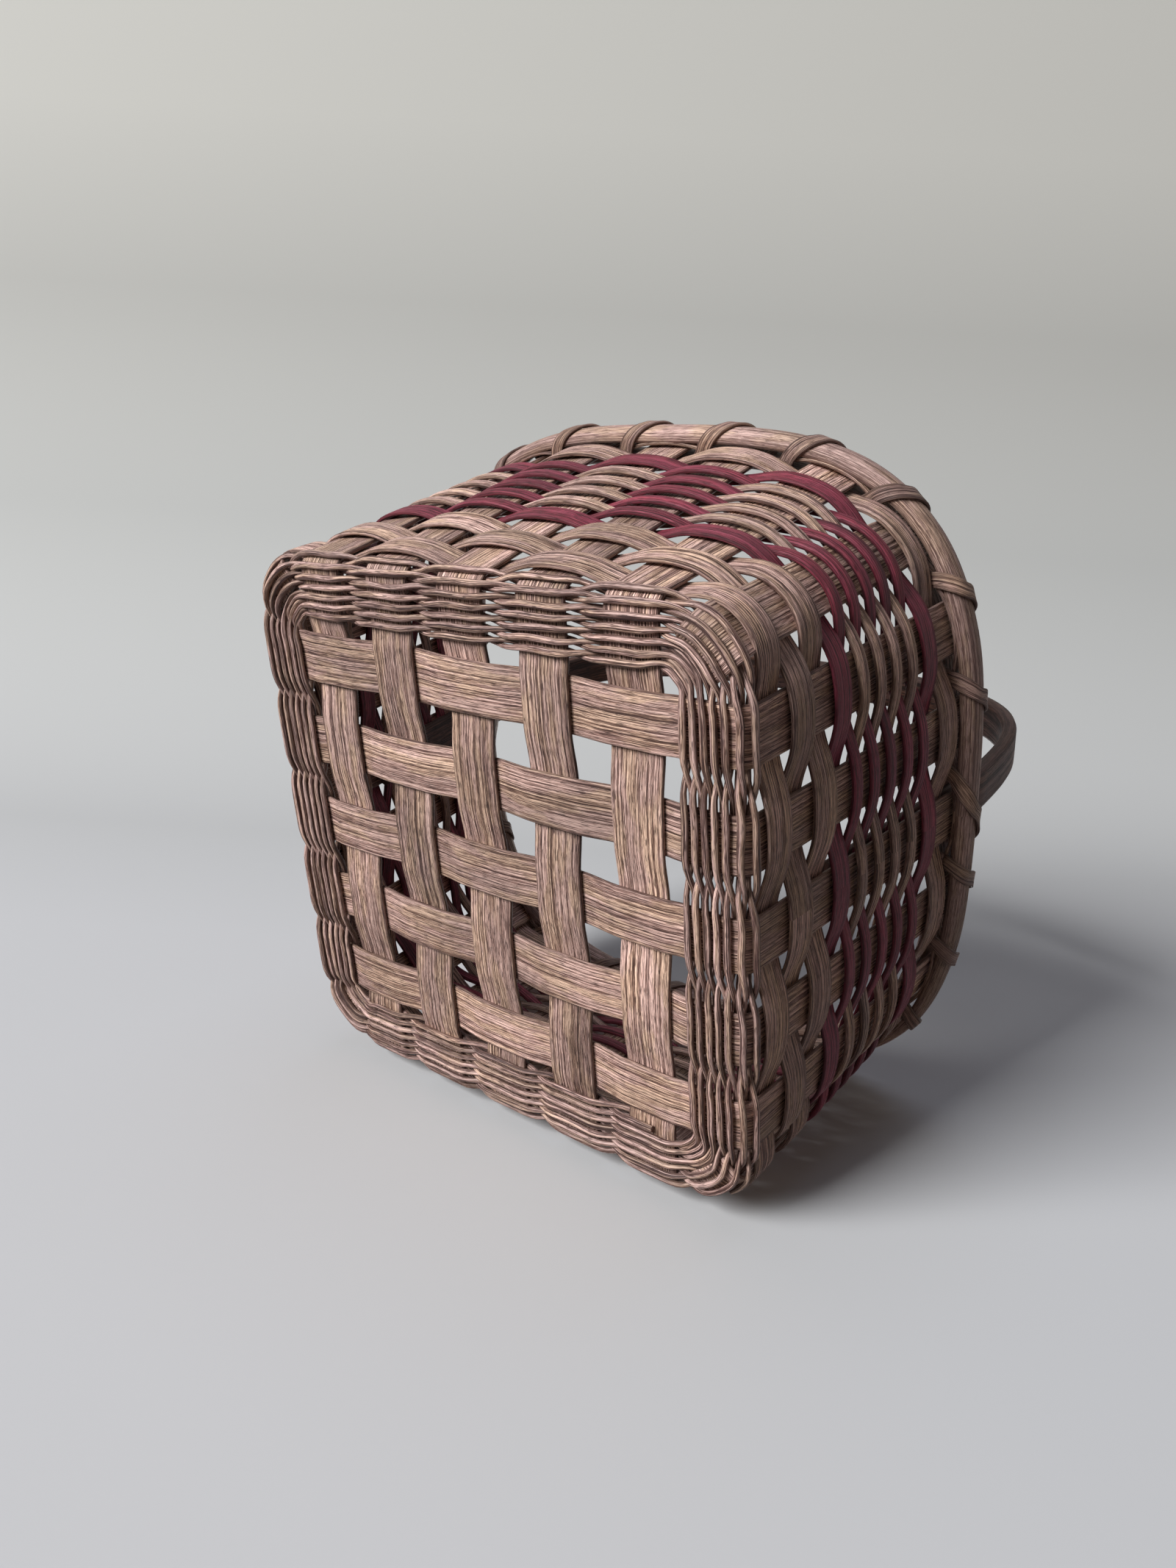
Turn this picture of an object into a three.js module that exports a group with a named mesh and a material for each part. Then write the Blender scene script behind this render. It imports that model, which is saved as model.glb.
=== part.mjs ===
// Square-bottomed market basket of woven flat reed with a fixed bow handle.
// Millimetres, +Z up, standing on its base; the origin is under the middle of the base.
// Every reed is a separate closed body. Heights inside the functions are measured from
// the mid-plane of the woven base, and place() lifts the finished mesh onto the floor.
import * as THREE from "three";

// Clearance between pieces that touch in the real basket
const CLEARANCE = 0.3;

// Stakes: flat reed laid both ways across the base and bent up into the walls
const STAKE_WIDTH = 16;
const REED_THICKNESS = 1.2;
const STAKE_SPACING = 28;
const STAKES_BESIDE_MIDDLE = 2;

// Twined border: a pair of strands wound round the base in one spiral, the last round part of
// the way up the bend into the wall
const TWINE_ROUNDS = 7;
const ROUNDS_BEFORE_CORNER_STAKES = 3;
const TWINE_WIDTH = 1;
const TWINE_GAP = 0.46;
const TWINE_THICKNESS = 1.8;
const BORDER_MARGIN = 5.8;
const BEND_RADIUS = 5;
const LAST_ROUND_DEGREES = 54;

// Side rows: three wide brown ones, a medium red one, narrow red ones with brown between,
// then a medium red and a wide brown one under the rim
const WIDE_ROW = 9.6;
const MEDIUM_ROW = 7.2;
const NARROW_ROW = 4;
const NARROW_RED_ROWS = 5;

// Mouth: a rounded square on the mid-plane of the wall half-way up the rim bands, and how far
// it flares out beyond the edge of the base
const MOUTH_FLARE_X = 13;
const MOUTH_FLARE_Y = 19.9;
const MOUTH_SQUARENESS = 3.2;

// Rim: a band outside and a band inside, lashed together
const BAND_WIDTH = 10.6;
const OUTER_BAND_THICKNESS = 4;
const INNER_BAND_THICKNESS = 3.2;
const LASHING_WIDTH = 4.8;
const LASHING_THICKNESS = 1;
const STAKE_TOP_BELOW_BAND = 0.5;

// Handle: a bent bow whose thinned ends run down inside the wall
const HANDLE_WIDTH = 14.5;
const HANDLE_THICKNESS = 5;
const HANDLE_TAIL_THICKNESS = 3;
const HANDLE_TAIL_HEIGHT = 40;
const HANDLE_INSIDE_MOUTH = 0.5;
const HANDLE_SPRING_ABOVE_RIM = 16;
const HANDLE_RISE = 82;
const HANDLE_SQUARENESS = 3.2;

// Mesh detail
const BEND_STEPS = 3;
const WALL_STEPS = 7;
const ARCH_STEPS = 28;
const MOUTH_SAMPLES = 2000;

// Derived layout of the stakes
const STAKES_ACROSS = 2 * STAKES_BESIDE_MIDDLE + 1;
const SIDE_STAKES = STAKES_ACROSS + 1;
const STAKE_COUNT = 4 * SIDE_STAKES;
const LAST_STAKE = STAKES_BESIDE_MIDDLE * STAKE_SPACING;
const LATTICE_EDGE = LAST_STAKE + STAKE_WIDTH / 2;
const HALF_PLATEAU = STAKE_WIDTH / 2 + CLEARANCE;

// Derived distances of the border, measured along a stake from the middle of the base
const TRACK_OFFSET = (TWINE_WIDTH + TWINE_GAP) / 2;
const TWINE_PITCH = 4 * TRACK_OFFSET;
const FIRST_ROUND = LATTICE_EDGE + BORDER_MARGIN;
const LAST_ROUND_ANGLE = THREE.MathUtils.degToRad(LAST_ROUND_DEGREES);
const BEND_START = FIRST_ROUND + TWINE_PITCH * (TWINE_ROUNDS - 1) - BEND_RADIUS * LAST_ROUND_ANGLE;
const BASE_EDGE = BEND_START + BEND_RADIUS;
const TWINE_HEIGHT_OFFSET = REED_THICKNESS / 2 + CLEARANCE + TWINE_THICKNESS / 2;
const BASE_HEIGHT = TWINE_HEIGHT_OFFSET + TWINE_THICKNESS / 2;
const LAST_TWINE = FIRST_ROUND + TWINE_PITCH * TWINE_ROUNDS + TRACK_OFFSET - TWINE_PITCH / 2;

// Derived half sizes of the mouth and of the handle over it
const MOUTH_HALF_X = BASE_EDGE + MOUTH_FLARE_X;
const MOUTH_HALF_Y = BASE_EDGE + MOUTH_FLARE_Y;
const HANDLE_HALF_SPAN = MOUTH_HALF_X - HANDLE_INSIDE_MOUTH;

// Derived heights of the wall
const LAST_TWINE_ANGLE = (LAST_TWINE - BEND_START) / BEND_RADIUS;
const FIRST_ROW_BOTTOM =
  BEND_RADIUS -
  (BEND_RADIUS - BASE_HEIGHT) * Math.cos(LAST_TWINE_ANGLE) +
  (TWINE_WIDTH / 2) * Math.sin(LAST_TWINE_ANGLE) +
  CLEARANCE;
const ROW_OFFSET = REED_THICKNESS + CLEARANCE;

const RED = "red";
const BROWN = "brown";
const COLOURS = {
  brown: { color: 0x8f7565, roughness: 0.72 },
  red: { color: 0x7a2f40, roughness: 0.7 },
  rim: { color: 0x967a66, roughness: 0.68 },
  handle: { color: 0x4b3c38, roughness: 0.55 },
};

/** The side rows in order, each with its width, colour and height of its lower edge. */
function planRows() {
  const kinds = [
    [WIDE_ROW, BROWN],
    [WIDE_ROW, BROWN],
    [WIDE_ROW, BROWN],
    [MEDIUM_ROW, RED],
  ];
  for (let i = 0; i < NARROW_RED_ROWS; i += 1) {
    kinds.push([NARROW_ROW, RED]);
    if (i < NARROW_RED_ROWS - 1) kinds.push([NARROW_ROW, BROWN]);
  }
  kinds.push([MEDIUM_ROW, RED], [WIDE_ROW, BROWN]);
  let bottom = FIRST_ROW_BOTTOM;
  return kinds.map(([width, colour], index) => {
    const row = { width, colour, bottom, outsideEvenStakes: index % 2 === 1 };
    bottom += width + CLEARANCE;
    return row;
  });
}

const ROWS = planRows();
const TOP_ROW = ROWS[ROWS.length - 1];
const RIM_BOTTOM = TOP_ROW.bottom + TOP_ROW.width + 2 * CLEARANCE + LASHING_THICKNESS;
const RIM_CENTRE = RIM_BOTTOM + BAND_WIDTH / 2;
const RIM_TOP = RIM_BOTTOM + BAND_WIDTH;
const STAKE_TOP = RIM_TOP - STAKE_TOP_BELOW_BAND;
const BAND_OFFSET = ROW_OFFSET + REED_THICKNESS / 2 + CLEARANCE;
const TAIL_OFFSET = BAND_OFFSET + HANDLE_TAIL_THICKNESS / 2;

/** Distance from the middle of a superellipse to its edge in the direction of an angle. */
function superellipseRadius(angle, halfX, halfY, power) {
  const x = Math.abs(Math.cos(angle) / halfX) ** power;
  const y = Math.abs(Math.sin(angle) / halfY) ** power;
  return (x + y) ** (-1 / power);
}

/** Slope of the mouth's superellipse along one axis. */
function mouthSlope(position, half) {
  return (Math.sign(position) * Math.abs(position / half) ** (MOUTH_SQUARENESS - 1)) / half;
}

/** Points spaced evenly by length round the mouth, with the outward direction at each. */
function spaceMouth() {
  const curve = [];
  for (let i = 0; i <= MOUTH_SAMPLES; i += 1) {
    const angle = (i / MOUTH_SAMPLES) * 2 * Math.PI;
    const radius = superellipseRadius(angle, MOUTH_HALF_X, MOUTH_HALF_Y, MOUTH_SQUARENESS);
    curve.push(new THREE.Vector3(radius * Math.cos(angle), radius * Math.sin(angle), 0));
  }
  const mouth = new THREE.CatmullRomCurve3(curve);
  mouth.arcLengthDivisions = 2 * MOUTH_SAMPLES;
  return Array.from({ length: STAKE_COUNT }, (_, i) => {
    const point = mouth.getPointAt(i / STAKE_COUNT);
    const slopeX = mouthSlope(point.x, MOUTH_HALF_X);
    const slopeY = mouthSlope(point.y, MOUTH_HALF_Y);
    return { point, outward: new THREE.Vector3(slopeX, slopeY, 0).normalize() };
  });
}

const UP = new THREE.Vector3(0, 0, 1);

/** Weighted sum of vectors: sum(a, 2, b, 3) is 2a + 3b. */
function sum(...pairs) {
  const total = new THREE.Vector3();
  for (let i = 0; i < pairs.length; i += 2) total.addScaledVector(pairs[i], pairs[i + 1]);
  return total;
}

/** Lay-out of one stake: its direction in the base, its bend and its straight run to the rim. */
function planStake(index, mouth) {
  const place = (index + STAKES_BESIDE_MIDDLE + STAKE_COUNT) % STAKE_COUNT;
  const side = Math.floor(place / SIDE_STAKES);
  const isCorner = place % SIDE_STAKES === SIDE_STAKES - 1;
  const angle = (side + (isCorner ? 0.5 : 0)) * (Math.PI / 2);
  const outward = new THREE.Vector3(Math.cos(angle), Math.sin(angle), 0);
  const along = new THREE.Vector3(-Math.sin(angle), Math.cos(angle), 0);
  const sideways = isCorner ? 0 : ((place % SIDE_STAKES) - STAKES_BESIDE_MIDDLE) * STAKE_SPACING;
  const cornerReach = isCorner ? LATTICE_EDGE * (Math.SQRT2 - 1) : 0;
  const base = sum(along, sideways, outward, cornerReach);
  const rim = mouth[index].point.clone().setZ(RIM_CENTRE);
  const run = rim.dot(outward) - cornerReach - BEND_START;
  const rise = RIM_CENTRE - BEND_RADIUS;
  const bendAngle = Math.atan2(rise, run) + Math.asin(BEND_RADIUS / Math.hypot(run, rise));
  const bendEnd = sum(
    base, 1,
    outward, BEND_START + BEND_RADIUS * Math.sin(bendAngle),
    UP, BEND_RADIUS * (1 - Math.cos(bendAngle)),
  );
  const climb = rim.clone().sub(bendEnd).normalize();
  return {
    index, isCorner, outward, along, base, bendAngle, bendEnd, climb,
    wallLength: rim.distanceTo(bendEnd),
    rimAlong: UP.clone().cross(mouth[index].outward),
    bendLength: BEND_RADIUS * bendAngle,
  };
}

/** Frame on a stake's mid-plane at a distance measured along it from the middle of the base. */
function frameAt(stake, distance) {
  const past = distance - BEND_START;
  if (past <= 0) {
    return {
      centre: sum(stake.base, 1, stake.outward, distance),
      along: stake.along,
      climb: stake.outward,
      face: UP.clone().negate(),
    };
  }
  if (past < stake.bendLength) {
    const angle = past / BEND_RADIUS;
    const face = sum(stake.outward, Math.sin(angle), UP, -Math.cos(angle));
    return {
      centre: sum(stake.base, 1, stake.outward, BEND_START, UP, BEND_RADIUS, face, BEND_RADIUS),
      along: stake.along,
      climb: sum(stake.outward, Math.cos(angle), UP, Math.sin(angle)),
      face,
    };
  }
  const climbed = past - stake.bendLength;
  const turn = climbed / stake.wallLength;
  const along = sum(stake.along, 1 - turn, stake.rimAlong, turn);
  along.addScaledVector(stake.climb, -along.dot(stake.climb)).normalize();
  return {
    centre: sum(stake.bendEnd, 1, stake.climb, climbed),
    along,
    climb: stake.climb,
    face: along.clone().cross(stake.climb),
  };
}

/** Distance along a stake at which its mid-plane reaches a height above the base mid-plane. */
function distanceAtHeight(stake, height) {
  const above = height - stake.bendEnd.z;
  if (above >= 0) return BEND_START + stake.bendLength + above / stake.climb.z;
  return BEND_START + BEND_RADIUS * Math.acos(1 - height / BEND_RADIUS);
}

const MOUTH = spaceMouth();
const STAKES = Array.from({ length: STAKE_COUNT }, (_, i) => planStake(i, MOUTH));

/** The stake with this running number, counted round and round the basket. */
function stakeNumber(number) {
  return STAKES[((number % STAKE_COUNT) + STAKE_COUNT) % STAKE_COUNT];
}

/** Point beside a frame's centre: along the wall, out of its face and up the stake. */
function beside(frame, along, face, climb = 0) {
  return sum(frame.centre, 1, frame.along, along, frame.face, face, frame.climb, climb);
}

/** Closed geometry through a row of cross-sections, capped at the ends or joined in a ring. */
function loft(sections, isRing) {
  const size = sections[0].length;
  const indices = [];
  const spans = isRing ? sections.length : sections.length - 1;
  for (let s = 0; s < spans; s += 1) {
    const here = s * size;
    const next = ((s + 1) % sections.length) * size;
    for (let c = 0; c < size; c += 1) {
      const d = (c + 1) % size;
      indices.push(here + c, here + d, next + d, here + c, next + d, next + c);
    }
  }
  if (!isRing) {
    const last = spans * size;
    for (let c = 1; c < size - 1; c += 1) {
      indices.push(0, c + 1, c, last, last + c, last + c + 1);
    }
  }
  const points = sections.flat();
  if (enclosedVolume(points, indices) < 0) indices.reverse();
  const geometry = new THREE.BufferGeometry();
  geometry.setFromPoints(points);
  geometry.setIndex(indices);
  return geometry;
}

/** Signed volume inside a closed set of triangles. */
function enclosedVolume(points, indices) {
  let volume = 0;
  const normal = new THREE.Vector3();
  for (let i = 0; i < indices.length; i += 3) {
    normal.crossVectors(points[indices[i + 1]], points[indices[i + 2]]);
    volume += points[indices[i]].dot(normal) / 6;
  }
  return volume;
}

const basket = new THREE.Group();

/** Adds a named piece to the basket, lifted so that the basket stands on z = 0. */
function place(name, geometry, finish) {
  geometry.computeVertexNormals();
  const material = new THREE.MeshStandardMaterial({ ...COLOURS[finish], metalness: 0 });
  const mesh = new THREE.Mesh(geometry, material);
  mesh.name = name;
  mesh.position.z = BASE_HEIGHT;
  basket.add(mesh);
}

/** Rectangle across a flat strip: half width along the wall, thickness through its face. */
function stripSection(frame, offset, side) {
  const half = (STAKE_WIDTH / 2) * side;
  const skin = REED_THICKNESS / 2;
  return [
    beside(frame, half, offset + skin),
    beside(frame, -half, offset + skin),
    beside(frame, -half, offset - skin),
    beside(frame, half, offset - skin),
  ];
}

/** Cross-sections of a stake from where it leaves the base up to its cut top. */
function risingSections(stake, side) {
  const sections = [];
  for (let step = 0; step <= BEND_STEPS; step += 1) {
    const distance = BEND_START + (stake.bendLength * step) / BEND_STEPS;
    sections.push(stripSection(frameAt(stake, distance), 0, side));
  }
  const start = BEND_START + stake.bendLength;
  const top = distanceAtHeight(stake, STAKE_TOP);
  for (let step = 1; step <= WALL_STEPS; step += 1) {
    const distance = start + ((top - start) * step) / WALL_STEPS;
    sections.push(stripSection(frameAt(stake, distance), 0, side));
  }
  return sections;
}

/** Half of a long strip, from the middle crossing of the base out to the rim. */
function halfStrip(stake, side, liesBelowAtMiddle) {
  const sections = [];
  const rest = (REED_THICKNESS + CLEARANCE) / 2;
  for (let crossing = 0; crossing <= STAKES_BESIDE_MIDDLE; crossing += 1) {
    const isBelow = liesBelowAtMiddle === (crossing % 2 === 0);
    const centre = crossing * STAKE_SPACING;
    if (crossing > 0) {
      sections.push(stripSection(frameAt(stake, centre - HALF_PLATEAU), isBelow ? rest : -rest, side));
    }
    sections.push(stripSection(frameAt(stake, centre + HALF_PLATEAU), isBelow ? rest : -rest, side));
  }
  const borderStart = FIRST_ROUND - TRACK_OFFSET - TWINE_WIDTH / 2 - CLEARANCE;
  sections.push(stripSection(frameAt(stake, borderStart), 0, side));
  sections.push(...risingSections(stake, side));
  return sections;
}

/** Long strips: each runs rim to rim, woven over and under the ones that cross it. */
function addBaseStrips() {
  for (const direction of ["x", "y"]) {
    const middle = direction === "x" ? 0 : STAKE_COUNT / 4;
    for (let rank = -STAKES_BESIDE_MIDDLE; rank <= STAKES_BESIDE_MIDDLE; rank += 1) {
      const near = stakeNumber(middle + rank);
      const far = stakeNumber(middle + STAKE_COUNT / 2 - rank);
      const liesBelowAtMiddle = (rank % 2 === 0) === (direction === "x");
      const farHalf = halfStrip(far, -1, liesBelowAtMiddle).reverse();
      const nearHalf = halfStrip(near, 1, liesBelowAtMiddle);
      const strip = loft([...farHalf, ...nearHalf], false);
      place(`stake_${direction}_${rank + STAKES_BESIDE_MIDDLE + 1}`, strip, BROWN);
    }
  }
}

/** Running number of the first stake that the twining passes. */
const TWINE_START = STAKES_BESIDE_MIDDLE + 2;

/** Distance of a track of the twined pair along the stake with this running number. */
function twineDistance(number, track) {
  const rounds = (number - TWINE_START) / STAKE_COUNT;
  return FIRST_ROUND - TWINE_PITCH / 2 + TWINE_PITCH * rounds + track;
}

/** Corner stakes: pushed into the border where the twining first passes them. */
function addCornerStakes() {
  let count = 0;
  for (const stake of STAKES.filter((candidate) => candidate.isCorner)) {
    let number = stake.index + STAKE_COUNT * ROUNDS_BEFORE_CORNER_STAKES;
    if (stake.index < TWINE_START) number += STAKE_COUNT;
    const tip = twineDistance(number, -TRACK_OFFSET) - TWINE_WIDTH / 2;
    const sections = [stripSection(frameAt(stake, tip), 0, 1), ...risingSections(stake, 1)];
    count += 1;
    place(`corner_stake_${count}`, loft(sections, false), BROWN);
  }
}

/** One strand of the twined pair, from the first stake it passes to the last. */
function twineStrand(track, startsBelow) {
  const sections = [];
  const addSection = (number, along, offset) => {
    const distance = twineDistance(number + along / STAKE_SPACING, track);
    const inward = frameAt(stakeNumber(number), distance - TWINE_WIDTH / 2);
    const onward = frameAt(stakeNumber(number), distance + TWINE_WIDTH / 2);
    const thick = TWINE_THICKNESS / 2;
    sections.push([
      beside(onward, along, offset + thick),
      beside(inward, along, offset + thick),
      beside(inward, along, offset - thick),
      beside(onward, along, offset - thick),
    ]);
  };
  let isBelow = startsBelow;
  const end = TWINE_START + TWINE_ROUNDS * STAKE_COUNT;
  for (let number = TWINE_START; number < end; number += 1) {
    const round = Math.floor((number - TWINE_START) / STAKE_COUNT);
    const isOpenCorner = stakeNumber(number).isCorner && round < ROUNDS_BEFORE_CORNER_STAKES;
    if (isOpenCorner) {
      addSection(number, 0, 0);
    } else {
      const offset = isBelow ? TWINE_HEIGHT_OFFSET : -TWINE_HEIGHT_OFFSET;
      addSection(number, -HALF_PLATEAU, offset);
      addSection(number, HALF_PLATEAU, offset);
      isBelow = !isBelow;
    }
  }
  return loft(sections, false);
}

/** A flat weaver all round the wall, outside every other stake, as a closed ring. */
function weaverRing(bottom, width, outsideEvenStakes) {
  const sections = [];
  const skin = REED_THICKNESS / 2;
  for (const stake of STAKES) {
    const isOutside = (stake.index % 2 === 0) === outsideEvenStakes;
    const offset = isOutside ? ROW_OFFSET : -ROW_OFFSET;
    const low = frameAt(stake, distanceAtHeight(stake, bottom));
    const high = frameAt(stake, distanceAtHeight(stake, bottom + width));
    for (const along of [-HALF_PLATEAU, HALF_PLATEAU]) {
      sections.push([
        beside(low, along, offset + skin),
        beside(high, along, offset + skin),
        beside(high, along, offset - skin),
        beside(low, along, offset - skin),
      ]);
    }
  }
  return loft(sections, true);
}

/** Side rows from the base up, and the last row hidden between the rim bands. */
function addRows() {
  ROWS.forEach((row, index) => {
    const ring = weaverRing(row.bottom, row.width, row.outsideEvenStakes);
    place(`side_row_${String(index + 1).padStart(2, "0")}_${row.colour}`, ring, row.colour);
  });
  place("rim_row", weaverRing(RIM_BOTTOM, BAND_WIDTH, !TOP_ROW.outsideEvenStakes), BROWN);
}

/** Frame of a stake at the middle height of the rim bands. */
function rimFrame(number) {
  const stake = stakeNumber(number);
  return frameAt(stake, distanceAtHeight(stake, RIM_CENTRE));
}

// Half-round profile of a rim band, as shares of its thickness and of its half width
const HALF_ROUND = [[0, 1], [0.5, 1], [0.88, 0.58], [1, 0], [0.88, -0.58], [0.5, -1], [0, -1]];

/** Band section as [out of the wall, up] pairs, starting on its flat face. */
function bandSection(thickness, direction) {
  return HALF_ROUND.map(([out, up]) => [
    (BAND_OFFSET + thickness * out) * direction,
    (BAND_WIDTH / 2) * up,
  ]);
}

/** Inward offset of the inner band where it passes over a handle tail. */
function tailBulge(number) {
  return number % (STAKE_COUNT / 2) === 0 ? -(HANDLE_TAIL_THICKNESS + CLEARANCE) : 0;
}

/** The outer band runs straight past the handle. */
function noBulge() {
  return 0;
}

/** A rim band all round the mouth. */
function rimBand(section, bulgeAt) {
  const sections = [];
  for (const stake of STAKES) {
    const frame = rimFrame(stake.index);
    const bulge = bulgeAt(stake.index);
    for (const along of [-HALF_PLATEAU, HALF_PLATEAU]) {
      sections.push(section.map(([out, up]) => beside(frame, along, out + bulge, up)));
    }
  }
  return loft(sections, true);
}

const OUTER_BAND = bandSection(OUTER_BAND_THICKNESS, 1);
const INNER_BAND = bandSection(INNER_BAND_THICKNESS, -1);

/** Adds both rim bands. */
function addRimBands() {
  place("rim_outer", rimBand(OUTER_BAND, noBulge), "rim");
  place("rim_inner", rimBand(INNER_BAND, tailBulge), "rim");
}

/** Middle of the handle in the XZ plane, with its thickness, from one tail to the other. */
function handlePath() {
  const stake = STAKES[0];
  const spring = RIM_TOP + HANDLE_SPRING_ABOVE_RIM;
  const half = [];
  for (const height of [HANDLE_TAIL_HEIGHT, RIM_TOP + CLEARANCE]) {
    const frame = frameAt(stake, distanceAtHeight(stake, height));
    const centre = beside(frame, 0, -TAIL_OFFSET);
    half.push({ x: centre.x, z: centre.z, thickness: HANDLE_TAIL_THICKNESS });
  }
  for (let step = 0; step <= ARCH_STEPS / 2; step += 1) {
    const angle = (step / ARCH_STEPS) * Math.PI;
    const radius = superellipseRadius(angle, HANDLE_HALF_SPAN, HANDLE_RISE, HANDLE_SQUARENESS);
    half.push({
      x: radius * Math.cos(angle),
      z: spring + radius * Math.sin(angle),
      thickness: HANDLE_THICKNESS,
    });
  }
  const mirrored = half.slice(0, -1).reverse();
  return [...half, ...mirrored.map((point) => ({ ...point, x: -point.x }))];
}

/** Rectangular sections of the handle, square to its path. */
function handleSections() {
  const path = handlePath();
  return path.map((point, i) => {
    const before = path[Math.max(i - 1, 0)];
    const after = path[Math.min(i + 1, path.length - 1)];
    const length = Math.hypot(after.x - before.x, after.z - before.z);
    const outX = (after.z - before.z) / length;
    const outZ = -(after.x - before.x) / length;
    const skin = point.thickness / 2;
    const half = HANDLE_WIDTH / 2;
    const outside = [point.x + outX * skin, point.z + outZ * skin];
    const inside = [point.x - outX * skin, point.z - outZ * skin];
    return [
      new THREE.Vector3(outside[0], half, outside[1]),
      new THREE.Vector3(outside[0], -half, outside[1]),
      new THREE.Vector3(inside[0], -half, inside[1]),
      new THREE.Vector3(inside[0], half, inside[1]),
    ];
  });
}

/** Point on a faceted rim band at a place counted in stakes round the mouth. */
function rimPoint(spot, out, up, bulgeAt) {
  const half = HALF_PLATEAU / RIM_SPACE;
  const facetEnd = (number, side) =>
    beside(rimFrame(number), side * HALF_PLATEAU, out + bulgeAt(number), up);
  const nearest = Math.round(spot);
  const offset = spot - nearest;
  if (Math.abs(offset) <= half) {
    return facetEnd(nearest, -1).lerp(facetEnd(nearest, 1), (offset + half) / (2 * half));
  }
  const before = offset > 0 ? nearest : nearest - 1;
  return facetEnd(before, 1).lerp(facetEnd(before + 1, -1), (spot - before - half) / (1 - 2 * half));
}

const RIM_SPACE = rimFrame(0).centre.distanceTo(rimFrame(1).centre);

/** Corners of a band section moved outward by a distance, as [out, up] pairs. */
function swell(section, index, distance) {
  const [before, here, after] = [section[index - 1], section[index], section[index + 1]];
  const normal = (from, to) => {
    const length = Math.hypot(to[0] - from[0], to[1] - from[1]);
    return [(to[1] - from[1]) / length, -(to[0] - from[0]) / length];
  };
  const handedness = -Math.sign(here[0]);
  const first = normal(before, here).map((value) => value * handedness);
  const second = normal(here, after).map((value) => value * handedness);
  const share = distance / (1 + first[0] * second[0] + first[1] * second[1]);
  return [here[0] + (first[0] + second[0]) * share, here[1] + (first[1] + second[1]) * share];
}

/** How far the corners of a faceted rim stand out beyond a straight line laid across them. */
function facetDepth(spot, reach, out) {
  const start = rimPoint(spot - reach, out, 0, noBulge);
  const end = rimPoint(spot + reach, out, 0, noBulge);
  const line = new THREE.Line3(start, end);
  let depth = 0;
  for (const side of [-1, 1]) {
    const corner = Math.round(spot) + (side * HALF_PLATEAU) / RIM_SPACE;
    if (Math.abs(corner - spot) < reach) {
      const point = rimPoint(corner, out, 0, noBulge);
      depth = Math.max(depth, point.distanceTo(line.closestPointToPoint(point, true, new THREE.Vector3())));
    }
  }
  return depth;
}

// Route of one turn of lashing: the corner of a band section that it folds over, how far round
// the mouth it has come since the last slot, in stake spaces, the same beside a handle tail,
// and its half width along the rim. A slot lies half-way between two stakes, and the strip is
// laid clear of the band's corners a little beyond its own width.
const SLOT = 0.5;
const LASHING_REACH = 0.06;
const SLANTED = LASHING_WIDTH;
const STRAIGHT = LASHING_WIDTH / 2;
const LASHING_TURN = [
  { band: OUTER_BAND, corner: 5, advance: 0, byHandle: 0, half: STRAIGHT },
  { band: OUTER_BAND, corner: 4, advance: 0.1, byHandle: 0.17, half: SLANTED },
  { band: OUTER_BAND, corner: 3, advance: 0.23, byHandle: 0.41, half: SLANTED },
  { band: OUTER_BAND, corner: 2, advance: 0.36, byHandle: 0.65, half: SLANTED },
  { band: OUTER_BAND, corner: 1, advance: 0.46, byHandle: 0.88, half: STRAIGHT },
  { band: INNER_BAND, corner: 1, advance: 0.54, byHandle: 0.9, half: STRAIGHT },
  { band: INNER_BAND, corner: 2, advance: 0.64, byHandle: 0.92, half: STRAIGHT },
  { band: INNER_BAND, corner: 3, advance: 0.77, byHandle: 0.95, half: STRAIGHT },
  { band: INNER_BAND, corner: 4, advance: 0.9, byHandle: 0.98, half: STRAIGHT },
  { band: INNER_BAND, corner: 5, advance: 1, byHandle: 1, half: STRAIGHT },
];

/** Cross-section of the lashing where it folds over one corner of a band. */
function lashingSection(spot, { band, corner, half }) {
  const isOuter = band === OUTER_BAND;
  const bulgeAt = isOuter ? noBulge : tailBulge;
  const spread = half / RIM_SPACE;
  const near = swell(band, corner, CLEARANCE);
  const far = swell(band, corner, CLEARANCE + LASHING_THICKNESS);
  const lift = isOuter ? facetDepth(spot, spread + LASHING_REACH, near[0]) : 0;
  return [
    rimPoint(spot - spread, near[0] + lift, near[1], bulgeAt),
    rimPoint(spot + spread, near[0] + lift, near[1], bulgeAt),
    rimPoint(spot + spread, far[0] + lift, far[1], bulgeAt),
    rimPoint(spot - spread, far[0] + lift, far[1], bulgeAt),
  ];
}

/** Lashing: one flat strip wound round both bands, once in each space between stakes. */
function lashingSections() {
  const sections = [];
  for (let turn = 0; turn < STAKE_COUNT; turn += 1) {
    const isByHandle = (turn + 1) % (STAKE_COUNT / 2) === 0;
    for (const step of LASHING_TURN) {
      const advance = isByHandle ? step.byHandle : step.advance;
      sections.push(lashingSection(turn + SLOT + advance, step));
    }
  }
  return sections;
}

/** Least distance between the edges of turns of the lashing that lie next to each other. */
function leastGap(sections) {
  const turnLength = LASHING_TURN.length;
  let least = Infinity;
  sections.forEach((section, i) => {
    for (let j = i + Math.ceil(turnLength / 2); j < sections.length; j += 1) {
      for (const from of section) {
        for (const to of sections[j]) least = Math.min(least, from.distanceTo(to));
      }
    }
  });
  return least;
}

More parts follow.
